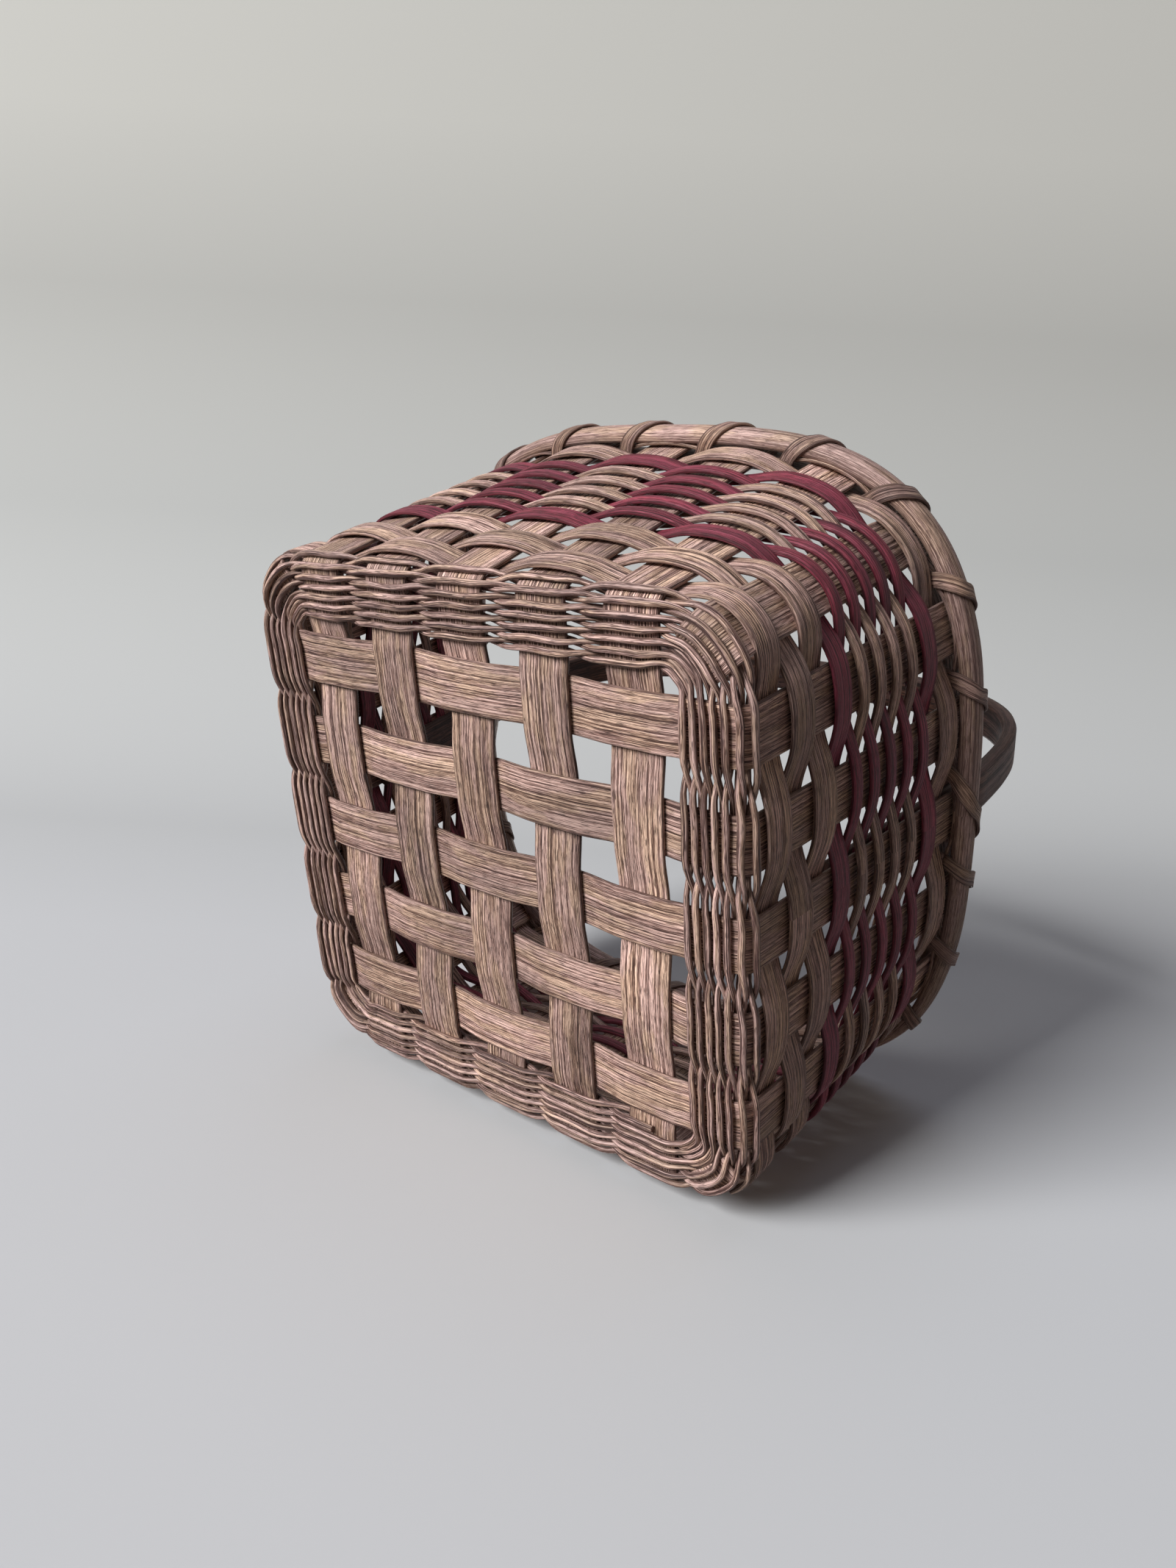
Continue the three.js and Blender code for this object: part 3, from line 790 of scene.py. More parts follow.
@dataclass(frozen=True)
class ReedFinish:
    """Stained or dyed reed: split cane whose fibres took the colour unevenly.

    Attributes:
        name: name of the material.
        dark: colour of the pores and grooves.
        middle: colour of most fibres.
        light: colour of the proud fibres.
        edge: colour of the painted shade along the edges and sides.
        warm: tint of the patches where the cane shows through.
        fibre: width of a fibre in millimetres.
        relief: depth of the grooves in millimetres.
        roughness: least and greatest roughness.
        patchiness: how unevenly the stain lies, from 0 to 1.
        ior: index of refraction; wood and cane are near 1.53.
        specular: share of the usual reflection that the open, dry fibres keep.
        edge_shade_share: how far the edges and sides turn to the colour of the painted shade.
        cool: tint of the fully stained patches.
        weights: share of each noise in the fibres.
        fibre_levels: levels of the fibres that are dark, middle and light.
        pore_levels: levels of the pores' noise between which a pore fades out.
        pore_depth: how dark a pore is, from 0 to 1.
        stain_levels: levels of the stain's noise with the darkest and the lightest stain.
        bare_levels: levels of the noise between which the cane comes to show through.
        sheen_levels: levels of the fibres with the greatest and the least roughness.
        bump: strength of the relief.
    """

    name: str
    dark: str
    middle: str
    light: str
    edge: str
    warm: str = "FFF8EA"
    fibre: float = 0.14
    relief: float = 0.22
    roughness: tuple[float, float] = (0.42, 0.72)
    patchiness: float = 0.35
    ior: float = 1.53
    specular: float = 0.3
    edge_shade_share: float = 0.5
    cool: str = "FFF6F8"
    weights: tuple[tuple[str, float], ...] = (
        ("bundles", 0.3), ("fibres", 0.3), ("broken fibres", 0.4)
    )
    fibre_levels: tuple[float, float, float] = (0.435, 0.49, 0.56)
    pore_levels: tuple[float, float] = (0.31, 0.38)
    pore_depth: float = 0.8
    stain_levels: tuple[float, float] = (0.3, 0.7)
    bare_levels: tuple[float, float] = (0.45, 0.58)
    sheen_levels: tuple[float, float] = (0.35, 0.65)
    bump: float = 0.9

    def marks(self) -> dict[str, Marks]:
        """Marks of each noise.

        Single fibres are finer than a pixel of the render, so bundles of nearly four stand beside
        them, drawn as coarse as they need to be to show.

        Returns:
            The size of the marks by the name of the noise.
        """
        return {
            "bundles": Marks(110.0, 3.85 * self.fibre),
            "fibres": Marks(620.0, self.fibre),
            "broken fibres": Marks(8.0, 0.91 * self.fibre, 3.0, 0.65),
            "pores": Marks(3.8, 0.91 * self.fibre),
            "stain": Marks(71.0, 22.0, 2.0),
            "bare cane": Marks(26.0, 6.0, 3.0, 0.6),
        }

    def material(self) -> bpy.types.Material:
        """Nodes: bundles and fibres give colour, sheen and relief, and pores cut into them.

        Two slow noises lay the stain unevenly and tint it where the pale cane shows through.

        Returns:
            The finished material.
        """
        material = empty_material(self.name)
        tree = material.node_tree
        place = add_node(tree, "ShaderNodeUVMap", uv_map="reed")
        noise = {}
        for name, marks in self.marks().items():
            spread = add_node(
                tree, "ShaderNodeMapping", {"Vector": (place, "UV"), "Scale": marks.scale()}
            )
            inputs = {"Vector": (spread, "Vector"), "Scale": 1.0}
            inputs |= {"Detail": marks.detail, "Roughness": marks.roughness}
            noise[name] = add_node(tree, "ShaderNodeTexNoise", inputs, noise_dimensions="2D")
        fibre = 0.0
        for name, weight in self.weights:
            inputs = {0: (noise[name], "Fac"), 1: weight, 2: fibre}
            fibre = (add_node(tree, "ShaderNodeMath", inputs, operation="MULTIPLY_ADD"), "Value")
        stops = tuple(zip(self.fibre_levels, map(linear, (self.dark, self.middle, self.light))))
        colour = add_node(tree, "ShaderNodeValToRGB", {"Fac": fibre}, stops)
        stops = tuple(zip(self.pore_levels, map(grey, (self.pore_depth, 0.0))))
        pores = add_node(tree, "ShaderNodeValToRGB", {"Fac": (noise["pores"], "Fac")}, stops)
        tones = (1 - self.patchiness, 1 + self.patchiness / 2)
        stops = tuple(zip(self.stain_levels, map(grey, tones)))
        stain = add_node(tree, "ShaderNodeValToRGB", {"Fac": (noise["stain"], "Fac")}, stops)
        stops = tuple(zip(self.bare_levels, map(linear, (self.cool, self.warm))))
        bare = add_node(tree, "ShaderNodeValToRGB", {"Fac": (noise["bare cane"], "Fac")}, stops)
        tone = add_node(tree, "ShaderNodeAttribute", attribute_name="tone")
        inputs = {0: (pores, "Color"), 6: (colour, "Color"), 7: linear(self.dark)}
        shown = (add_node(tree, "ShaderNodeMix", inputs, data_type="RGBA"), 2)
        for tint in (stain, bare, tone):
            inputs = {0: 1.0, 6: shown, 7: (tint, "Color")}
            mix = add_node(tree, "ShaderNodeMix", inputs, data_type="RGBA", blend_type="MULTIPLY")
            shown = (mix, 2)
        # Painted shade: the edges and sides of the reed turn towards the edge colour
        edge = add_node(tree, "ShaderNodeAttribute", attribute_name="edge")
        inputs = {0: (edge, "Fac"), 1: self.edge_shade_share}
        edge_shade_part = add_node(tree, "ShaderNodeMath", inputs, operation="MULTIPLY")
        inputs = {0: (edge_shade_part, "Value"), 6: shown, 7: linear(self.edge)}
        finished = add_node(tree, "ShaderNodeMix", inputs, data_type="RGBA")
        low, high = self.sheen_levels
        inputs = {"Value": fibre, "From Min": low, "From Max": high}
        inputs |= {"To Min": self.roughness[1], "To Max": self.roughness[0]}
        sheen = add_node(tree, "ShaderNodeMapRange", inputs)
        inputs = {0: fibre, 1: (pores, "Color")}
        height = add_node(tree, "ShaderNodeMath", inputs, operation="SUBTRACT")
        inputs = {"Height": (height, "Value"), "Strength": self.bump}
        inputs |= {"Distance": self.relief * METRES}
        bump = add_node(tree, "ShaderNodeBump", inputs)
        inputs = {"Base Color": (finished, 2), "Roughness": (sheen, "Result")}
        inputs |= {"IOR": self.ior, "Specular IOR Level": self.specular, "Normal": (bump, "Normal")}
        surface = add_node(tree, "ShaderNodeBsdfPrincipled", inputs)
        add_node(tree, "ShaderNodeOutputMaterial", {"Surface": (surface, "BSDF")})
        return material


@dataclass(frozen=True)
class StageFinish:
    """Matt paper of the floor and backdrop, seen only from its front.

    Attributes:
        name: name of the material.
        tones: colours of the floor, of the sweep, darker there as painted shade in the fold, and of
            the upright sheet.
        roughness: near 1, because uncoated paper has no sheen.
        levels: shares of the climb from floor to upright sheet with the pure colours.
    """

    name: str
    tones: tuple[str, str, str]
    roughness: float = 0.9
    levels: tuple[float, float, float] = (0.25, 0.6, 0.8)

    def material(self) -> bpy.types.Material:
        """Matt colour that lets rays through from behind.

        Returns:
            The finished material.
        """
        material = empty_material(self.name)
        tree = material.node_tree
        climb = add_node(tree, "ShaderNodeAttribute", attribute_name="climb")
        stops = tuple(zip(self.levels, map(linear, self.tones)))
        shown = add_node(tree, "ShaderNodeValToRGB", {"Fac": (climb, "Fac")}, stops)
        inputs = {"Base Color": (shown, "Color"), "Roughness": self.roughness}
        paper = add_node(tree, "ShaderNodeBsdfPrincipled", inputs)
        clear = add_node(tree, "ShaderNodeBsdfTransparent")
        side = add_node(tree, "ShaderNodeNewGeometry")
        inputs = {0: (side, "Backfacing"), 1: (paper, "BSDF"), 2: (clear, "BSDF")}
        mix = add_node(tree, "ShaderNodeMixShader", inputs)
        add_node(tree, "ShaderNodeOutputMaterial", {"Surface": (mix, "Shader")})
        return material


# In each finish the fourth colour is painted shade, laid along the edges and sides of the reed
# Flat reed is rattan core sawn into strips and brushed with a brown stain. The cut pores drink
# it and go dark, the proud fibres stay pale, and the dry face has a low, broken sheen.
STAINED_FLAT_REED = ReedFinish("brown_stained_flat_reed", "422D28", "A6867A", "FCE0D2", "4E3A34")
# Round reed is drawn through a die, so its skin is closed. It took the same stain more evenly,
# with finer relief and a little more shine.
STAINED_ROUND_REED = ReedFinish(
    "brown_stained_round_reed", "3E2A27", "8C7067", "E4CAC0", "523C36",
    fibre=0.22, relief=0.16, roughness=(0.4, 0.64),
)
# Flat reed steeped in a wine-red dye, which goes right through, so that edges and pores are red too
# and the painted shade at the edges is a dark red. The brown stain over it dulls the red.
DYED_FLAT_REED = ReedFinish("red_dyed_flat_reed", "3A0F18", "732136", "A54D62", "3A0F18", "FFEDE8")
# Half-round reed keeps the hard outer cane on its dome, where the brown stain wiped off thin.
# It reads as a smoother and lighter brown.
STAINED_HALF_ROUND_REED = ReedFinish(
    "brown_stained_half_round_reed", "604943", "A5897F", "E0C7BC", "6B524A"
)
# The lashing is narrow flat reed soaked and pulled tight when wet, which closed its grain. The
# stain on it is a shade darker than on the bands.
STAINED_LASHING_REED = ReedFinish(
    "brown_stained_lashing_reed", "44322D", "846A61", "BDA498", "4D3A34"
)
# The handle is steam-bent hardwood, such as ash, under a dark brown oil stain: a wide, even
# grain with little contrast, and nearly matt.
STAINED_BENTWOOD = ReedFinish(
    "dark_stained_bentwood", "2A1C19", "4A3530", "6C524A", "4F3C36", "FFEEDD",
    fibre=0.45, relief=0.1, roughness=(0.55, 0.75),
)


# Sub-assemblies


@dataclass
class Stakes:
    """Ten long strips woven over and under in the base, and the four corner stakes."""

    plan: BasketPlan
    # Half length that lies level at a crossing, and how far before the border a strip is back on
    # the mid-plane
    flat: float = 6.6
    settled: float = 1.0
    crown: float = 0.06
    # Corner stakes are pulled round the corner: their cupping, and the height over which it grows
    corner_cup: float = 0.012
    cup_reach: float = 8.0
    unevenness: float = 0.012
    # Distance of the cut tops under the rim's top, and how finely the sections stand
    top_gap: float = 0.5
    base_step: float = 1.6
    bend_points: int = 10
    wall_points: int = 46
    # How light each strip came out of the stain
    tones_x: tuple[float, ...] = (1.0, 0.92, 0.94, 1.04, 1.06)
    tones_y: tuple[float, ...] = (1.05, 0.76, 0.96, 0.84, 0.84)
    corner_tone: float = 0.9
    seed: int = 1

    def rise_offsets(self, distance: np.ndarray, lies_below: bool) -> np.ndarray:
        """Height offset of half a strip: plus or minus the rest on a crossing, eased between.

        Args:
            distance: distance from the middle of the base.
            lies_below: whether the strip is the outer one at the middle crossing.

        Returns:
            Offset out of the outer face for each distance, in millimetres.
        """
        plan = self.plan
        rest = (plan.reed_thickness + plan.clearance) / 2 * (1 if lies_below else -1)
        spots = [0, self.flat]
        values = [rest, rest]
        for crossing in range(1, plan.beside_middle + 1):
            centre = crossing * plan.stake_spacing
            rest = -rest
            spots += [centre - self.flat, centre + self.flat]
            values += [rest, rest]
        spots.append(plan.first_round - self.settled)
        values.append(0)
        place = np.clip(np.searchsorted(spots, distance, side="right") - 1, 0, len(spots) - 2)
        spots, values = np.array(spots), np.array(values)
        share = (distance - spots[place]) / (spots[place + 1] - spots[place])
        return values[place] + (values[place + 1] - values[place]) * ease(np.clip(share, 0, 1))

    def half(self, number: int, side: int, lies_below: bool, begin: float = 0.0) -> Path:
        """Half of a strip from mid-base to its cut top between the rim bands.

        Args:
            number: stake number.
            side: 1, or -1 to turn the direction along the wall about.
            lies_below: whether it is the outer strip at the middle crossing.
            begin: distance from mid-base at which it starts.

        Returns:
            The line of its middle.
        """
        plan = self.plan
        top = float(plan.distance_at(np.array([number]), plan.rim_top - self.top_gap)[0])
        bend_end = plan.bend_start + plan.bend_radius * plan.bend_angle[number % plan.count]
        distance = np.concatenate([
            np.arange(begin, plan.bend_start, self.base_step),
            np.linspace(plan.bend_start, bend_end, self.bend_points),
            np.linspace(bend_end, top, self.wall_points)[1:],
        ])
        numbers = np.full(len(distance), number)
        centre, along, _, face = plan.frame_at(numbers, distance)
        offset = self.rise_offsets(distance, lies_below)
        if begin > 0:
            offset = 0 * offset
        return Path(centre + face * offset[:, None], face, along * side, False)

    def strip(self, far: int, near: int, lies_below: bool) -> Path:
        """A whole strip: the far half turned about, joined to the near half at mid-base.

        Args:
            far: stake number at its far end.
            near: stake number at its near end.
            lies_below: whether it is the outer strip at the middle crossing.

        Returns:
            The line of its middle from end to end.
        """
        back = self.half(far, -1, lies_below)
        front = self.half(near, 1, lies_below)
        line = Path(
            np.concatenate([back.centre[:0:-1], front.centre]),
            np.concatenate([back.out[:0:-1], front.out]),
            np.concatenate([back.rise[:0:-1], front.rise]),
            False,
        )
        return line.moved(0, 0)

    def reeds(self) -> list[Reed]:
        """All the stakes, each with its own slight wander in width.

        Returns:
            The strips along X, then those along Y, then the corner stakes.
        """
        plan = self.plan
        beside = plan.beside_middle
        made = []
        for letter, middle in (("x", 0), ("y", plan.count // 4)):
            for rank in range(-beside, beside + 1):
                lies_below = (rank % 2 == 0) == (letter == "x")
                path = self.strip(middle + plan.count // 2 - rank, middle + rank, lies_below)
                made.append((f"stake_{letter}_{rank + beside + 1}", path))
        for place, number in enumerate(np.flatnonzero(plan.is_corner).tolist()):
            running = number + plan.count * plan.rounds_before_corners
            if number < plan.twine_start:
                running += plan.count
            rounds = (running - plan.twine_start) / plan.count
            tip = plan.first_round + plan.twine_pitch * (rounds - 0.5) - 2 * plan.track_offset
            made.append((f"corner_stake_{place + 1}", self.half(number, 1, True, tip).moved(0, 0)))
        corner_tones = (self.corner_tone,) * (len(made) - len(self.tones_x + self.tones_y))
        tones = self.tones_x + self.tones_y + corner_tones
        profile = flat_profile(plan.stake_width, plan.reed_thickness, self.crown)
        reeds = []
        for seed, ((name, path), tone) in enumerate(zip(made, tones), start=self.seed):
            widths = 1 + self.unevenness * wander(path.share(), 2, 9, seed)
            high = np.clip((path.centre[:, 2] - plan.bend_radius) / self.cup_reach, 0, 1)
            cups = self.corner_cup * ease(high) if "corner" in name else 0.0
            reeds.append(Reed(name, path, profile, Slot.STAKE, seed, widths, cups=cups, tone=tone))
        return reeds


@dataclass
class TwinedBorder:
    """A pair of round reeds twisted half a turn in each space, seven times round the base.

    A strand lies at out A cos(pi n) and rise B sin(pi n), with n the stakes passed so far.
    """

    plan: BasketPlan
    # A, B, and the width and thickness of a strand
    swing: float = 1.66
    rise: float = 0.74
    section: tuple[float, float] = (2.05, 1.7)
    # Half lengths on a stake of the straight part, and of the part where the strands keep sides
    flat: float = 1.2
    rest: float = 4.2
    fine: int = 9
    # Wander across the border, what the twist takes off the width and adds to the thickness, and
    # how much both wander
    drift: float = 0.12
    squeeze: float = 0.28
    swell: float = 0.1
    width_wander: float = 0.07
    thickness_wander: float = 0.04
    seed: int = 21
    width_seed: int = 61
    thickness_seed: int = 101

    def path(self) -> Path:
        """Middle line of the pair.

        Returns:
            A spiral that moves out by one pitch in each round.
        """
        plan = self.plan
        start = plan.twine_start
        numbers = np.arange(start, start + plan.twine_rounds * plan.count)
        rounds = (numbers - start) // plan.count
        is_open = plan.is_corner[numbers % plan.count] & (rounds < plan.rounds_before_corners)
        turns = np.cumsum(np.where(is_open, 0.0, 1.0)) + np.where(is_open, 0.5, 0.0)

        def distance(stakes: np.ndarray, beside: np.ndarray) -> np.ndarray:
            """Distance of the spiral from mid-base, which grows with the stakes passed.

            Args:
                stakes: running numbers of the stakes.
                beside: place beside each stake's middle.

            Returns:
                One distance for each place.
            """
            gone = (stakes + beside / plan.stake_spacing - start) / plan.count
            return plan.first_round + plan.twine_pitch * (gone - 0.5)

        flats = np.full(len(numbers), self.flat)
        return plan.round_path(numbers, distance, flats, False, turns, self.rest, self.fine)

    def reeds(self) -> list[Reed]:
        """Both strands, half a turn apart, each narrower where the pair is twisted.

        Returns:
            Strand a and strand b.
        """
        line = self.path()
        share = line.share()
        profile = round_profile(*self.section)
        made = []
        for ahead, letter in enumerate("ab"):
            seed = self.seed + ahead
            angle = math.pi * (line.turn + ahead)
            jitter = self.drift * wander(share, 60, 260, seed)
            strand = line.moved(self.swing * np.cos(angle), self.rise * np.sin(angle) + jitter)
            twisted = np.abs(np.sin(angle))
            uneven = self.width_wander * wander(share, 40, 200, self.width_seed + ahead)
            widths = 1 - self.squeeze * twisted + uneven
            uneven = self.thickness_wander * wander(share, 40, 200, self.thickness_seed + ahead)
            thicknesses = 1 + self.swell * twisted + uneven
            name = f"twine_strand_{letter}"
            made.append(Reed(name, strand, profile, Slot.TWINE, seed, widths, thicknesses))
        return made


@dataclass
class SideRows:
    """Flat weavers round the wall, in turn outside the even and the odd stakes."""

    plan: BasketPlan
    # Half lengths on a stake of the straight part, and of the part where a row keeps its side
    flat: float = 2.5
    corner_flat: float = 1.0
    rest: float = 3.6
    narrow_rest: float = 2.6
    # How far a row stands off over the middle of a stake
    wide_bow: float = 0.9
    narrow_bow: float = 1.0
    wide_crown: float = 0.08
    narrow_crown: float = 0.3
    narrow_thickness: float = 1.5
    spread: float = 0.12
    # Wander in height and in width
    drift: float = 0.1
    unevenness: float = 0.012
    seed: int = 31
    rim_row_seed: int = 51
    width_seed_step: int = 7

    def reed(self, row: RowSize, seed: int) -> Reed:
        """One row as a closed ring.

        Args:
            row: its size and place.
            seed: seed of its wander.

        Returns:
            The reed.
        """
        plan = self.plan
        is_narrow = row.width == plan.narrow_row
        hold = self.narrow_rest if is_narrow else self.rest
        line = plan.level_path(row.bottom + row.width / 2, self.flat, self.corner_flat, hold)
        side = np.cos(math.pi * line.turn) * (1 if row.outside_even else -1)
        rest = plan.reed_thickness + plan.clearance
        bow = self.narrow_bow if is_narrow else self.wide_bow
        near_stake = np.cos(math.pi * (line.place - np.round(line.place))) ** 2
        out = side * (rest + bow * near_stake)
        share = line.share()
        path = line.moved(out, self.drift * wander(share, 3, 20, seed))
        uneven = 1 + self.unevenness * wander(share, 4, 24, seed + self.width_seed_step)
        widths = uneven / float(plan.climb[0, 2])
        thickness = self.narrow_thickness if is_narrow else plan.reed_thickness
        crown = self.narrow_crown if is_narrow else self.wide_crown
        profile = flat_profile(row.width + self.spread, thickness - crown, crown)
        slot = Slot.RED if row.is_red else Slot.BROWN
        return Reed(row.name, path, profile, slot, seed, widths)

    def reeds(self) -> list[Reed]:
        """All side rows, and the one hidden between the rim bands.

        Returns:
            The rows from the base up.
        """
        plan = self.plan
        made = [self.reed(row, seed) for seed, row in enumerate(plan.rows, start=self.seed)]
        side = not plan.rows[-1].outside_even
        hidden = RowSize("rim_row", plan.band_width, plan.rim_bottom, False, side)
        return made + [self.reed(hidden, self.rim_row_seed)]


@dataclass
class Rim:
    """Half-round bands outside and inside the mouth, and the strip wound round both."""

    plan: BasketPlan
    # Half length of the mouth's line on a stake, the bands' thickness, and the outer one's wander
    # in place and width
    flat: float = 1.0
    outer: float = 4.0
    inner: float = 3.2
    drift: float = 0.06
    unevenness: float = 0.01
    # How far the inner band bends in over a handle tail, and over what part of a stake's space
    tail: float = 3.3
    tail_reach: float = 0.62
    lashing_width: float = 4.8
    lashing_thickness: float = 0.9
    lashing_crown: float = 0.08
    lashing_gap: float = 0.12
    lashing_unevenness: float = 0.04
    squareness: float = 2.6
    turn_points: int = 64
    # Place of a slot between two stakes, and the share of the way to the next slot that the
    # lashing has come when it passes over the top, first in general and then beside a handle tail
    slot_place: float = 0.5
    over: float = 0.42
    over_by_handle: float = 0.88
    # How soon the lashing follows the inner band's bend on its way in
    inward_rate: float = 1.6
    outer_seed: int = 61
    outer_width_seed: int = 62
    inner_seed: int = 62
    lashing_seed: int = 63

    def __post_init__(self) -> None:
        """Keeps the smooth line of the mouth."""
        self.line = self.plan.level_path(self.plan.rim_centre, self.flat, self.flat, 0.0)

    def bulge(self, place: np.ndarray) -> np.ndarray:
        """How far the inner band bends in over a handle tail: d cos^2 of the distance from it.

        Args:
            place: places along the mouth, counted in stakes.

        Returns:
            One distance in millimetres for each place.
        """
        half = self.plan.count / 2
        away = np.abs((place + half / 2) % half - half / 2)
        return self.tail * np.cos(np.clip(away / self.tail_reach, 0, 1) * math.pi / 2) ** 2

    def bands(self) -> list[Reed]:
        """The two bands, whose flat faces look at each other across the wall.

        Returns:
            The outer band and the inner one.
        """
        width, offset = self.plan.band_width, self.plan.band_offset
        share = self.line.share()
        drift = self.drift * wander(share, 5, 20, self.outer_seed)
        outer = self.line.moved(offset + drift, 0)
        inner = self.line.moved(-offset - self.bulge(self.line.place), 0)
        faces_out = half_round_profile(width, self.outer, 1)
        faces_in = half_round_profile(width, self.inner, -1)
        widths = 1 + self.unevenness * wander(share, 6, 30, self.outer_width_seed)
        return [
            Reed("rim_outer", outer, faces_out, Slot.RIM, self.outer_seed, widths),
            Reed("rim_inner", inner, faces_in, Slot.RIM, self.inner_seed),
        ]

    def on_mouth(self, place: np.ndarray) -> tuple[np.ndarray, ...]:
        """Finds places on the mouth's line between its points.

        Args:
            place: places along the mouth, counted in stakes.

        Returns:
            Point, outward direction and upward direction at each place.
        """
        places = np.append(self.line.place, self.line.place[0] + self.plan.count)
        wanted = (place - places[0]) % self.plan.count + places[0]
        found = []
        for values in (self.line.centre, self.line.out, self.line.rise):
            ring = np.vstack([values, values[:1]])
            found.append(np.stack([np.interp(wanted, places, ring[:, i]) for i in range(3)], 1))
        return found[0], unit(found[1]), unit(found[2])

    def lashing(self) -> Reed:
        """One strip wound once round both bands in each space between stakes.

        A turn is the rounded square out = c + a cos(q)^(2/p), rise = b sin(q)^(2/p), q from
        -90 degrees at the slot under the rim, while its place moves on along the mouth.

        Returns:
            The strip.
        """
        plan = self.plan
        gone = np.arange(plan.count * self.turn_points + 1) / self.turn_points
        turn = np.minimum(np.floor(gone), plan.count - 1)
        share = gone - turn
        by_handle = (turn + 1) % (plan.count / 2) == 0
        over = np.where(by_handle, self.over_by_handle, self.over)
        half = 0.5
        after = over + (1 - over) * (share - half) / half
        advance = np.where(share < half, over * share / half, after)
        place = turn + self.slot_place + advance
        angle = share * 2 * math.pi - math.pi / 2
        reach_out = plan.band_offset + self.outer
        reach_in = plan.band_offset + self.inner
        off = self.lashing_thickness / 2 + self.lashing_gap
        half_out, middle = (reach_out + reach_in) / 2 + off, (reach_out - reach_in) / 2
        half_up = plan.band_width / 2 + off
        power = 2 / self.squareness
        cosine, sine = np.cos(angle), np.sin(angle)
        out = middle + half_out * np.sign(cosine) * np.abs(cosine) ** power
        rise = half_up * np.sign(sine) * np.abs(sine) ** power
        inward = np.clip(-cosine * self.inward_rate, 0, 1)
        out = out - self.bulge(place) * ease(inward)
        point, outward, upward = self.on_mouth(place)
        centre = point + outward * out[:, None] + upward * rise[:, None]
        near = np.abs((out - middle) / half_out) ** (self.squareness - 1) * np.sign(out - middle)
        high = np.abs(rise / half_up) ** (self.squareness - 1) * np.sign(rise)
        normal = unit(outward * near[:, None] + upward * high[:, None])
        line = Path(centre, normal, np.cross(normal, unit(np.gradient(centre, axis=0))), False)
        path = line.moved(0, 0)
        seed = self.lashing_seed
        widths = 1 + self.lashing_unevenness * wander(path.share(), 20, 90, seed)
        profile = flat_profile(self.lashing_width, self.lashing_thickness, self.lashing_crown)
        return Reed("rim_lashing", path, profile, Slot.LASHING, seed, widths)


@dataclass
class Handle:
    """Bentwood bow from one side to the other, its thinned tails between wall and inner band."""

    plan: BasketPlan
    width: float = 14.5
    thickness: float = 5.0
    tail_thickness: float = 3.0
    tail_height: float = 40.0
    inside_mouth: float = 0.5
    spring_above_rim: float = 16.0
    rise: float = 82.0
    squareness: float = 3.2
    crown: float = 0.12
    # Height over the rim at which a tail leaves the wall, and sections of a tail, joint and bow
    tail_over_rim: float = 0.3
    tail_points: int = 16
    joint_points: int = 6
    bow_points: int = 42
    seed: int = 71

    def reed(self) -> Reed:
        """The bow: tails up the wall, then the curve |x/a|^p + |z/b|^p = 1 above the rim.

        Returns:
            The handle from the end of one tail to the end of the other.
        """
        plan = self.plan
        tail_top = plan.rim_top + self.tail_over_rim
        heights = np.linspace(self.tail_height, tail_top, self.tail_points)
        tail_offset = plan.band_offset + self.tail_thickness / 2
        zeros = np.zeros(len(heights), int)
        distance = np.array([float(plan.distance_at(np.array([0]), h)[0]) for h in heights])
        centre, _, _, face = plan.frame_at(zeros, distance)
        tail = centre - face * tail_offset
        angle = np.linspace(0, math.pi / 2, self.bow_points)
        x, z = np.cos(angle), np.sin(angle)
        power = self.squareness
        half_span = plan.mouth_half[0] - self.inside_mouth
        radius = ((x / half_span) ** power + (z / self.rise) ** power) ** (-1 / power)
        spring = plan.rim_top + self.spring_above_rim
        bow = np.stack([radius * x, 0 * x, spring + radius * z], axis=1)
        first, last = tail[-1], bow[0]
        t = np.linspace(0, 1, self.joint_points + 2)[1:-1, None]
        leave = unit(tail[-1] - tail[-2]) * np.linalg.norm(last - first)
        meet = unit(bow[1] - bow[0]) * np.linalg.norm(last - first)
        joint = bridge(first, leave, last, meet, t)
        side = np.concatenate([tail, joint, bow])
        other = side[-2::-1] * [-1, 1, 1]
        line = np.concatenate([side, other])
        thick = np.concatenate([
            np.full(len(tail), self.tail_thickness),
            self.tail_thickness + (self.thickness - self.tail_thickness) * ease(t[:, 0]),
            np.full(len(bow), self.thickness),
        ])
        thick = np.concatenate([thick, thick[-2::-1]])
        across = np.tile([0.0, 1.0, 0.0], (len(line), 1))
        tangent = unit(np.gradient(line, axis=0))
        path = Path(line, np.cross(across, tangent), across, False).moved(0, 0)
        profile = flat_profile(self.width, self.thickness, self.crown)
        shares = thick / (self.thickness + 2 * self.crown)
        return Reed("handle", path, profile, Slot.HANDLE, self.seed, 1.0, shares)


@dataclass(frozen=True)
class Lamp:
    """A square soft lamp aimed at the basket.

    Attributes:
        name: name of the lamp.
        offset: its place from the basket's middle: right, up from the floor, away.
        side: side of the square in metres.
        power: power in watts.
        colour: colour of its light.
    """

    name: str
    offset: tuple[float, float, float]
    side: float
    power: float
    colour: str


def placement(right: np.ndarray, up: np.ndarray, back: np.ndarray, place: np.ndarray) -> Matrix:
    """Matrix of a camera or lamp, which looks against its back direction.

    Args:
        right: its direction to the right.
        up: its upward direction.
        back: the direction behind it.
        place: where it stands.

    Returns:
        The matrix, with these four as its columns.
    """
    columns = (right, up, back, place)
    rows = [[float(column[i]) for column in columns] for i in range(3)]
    return Matrix(rows + [[0, 0, 0, 1]])


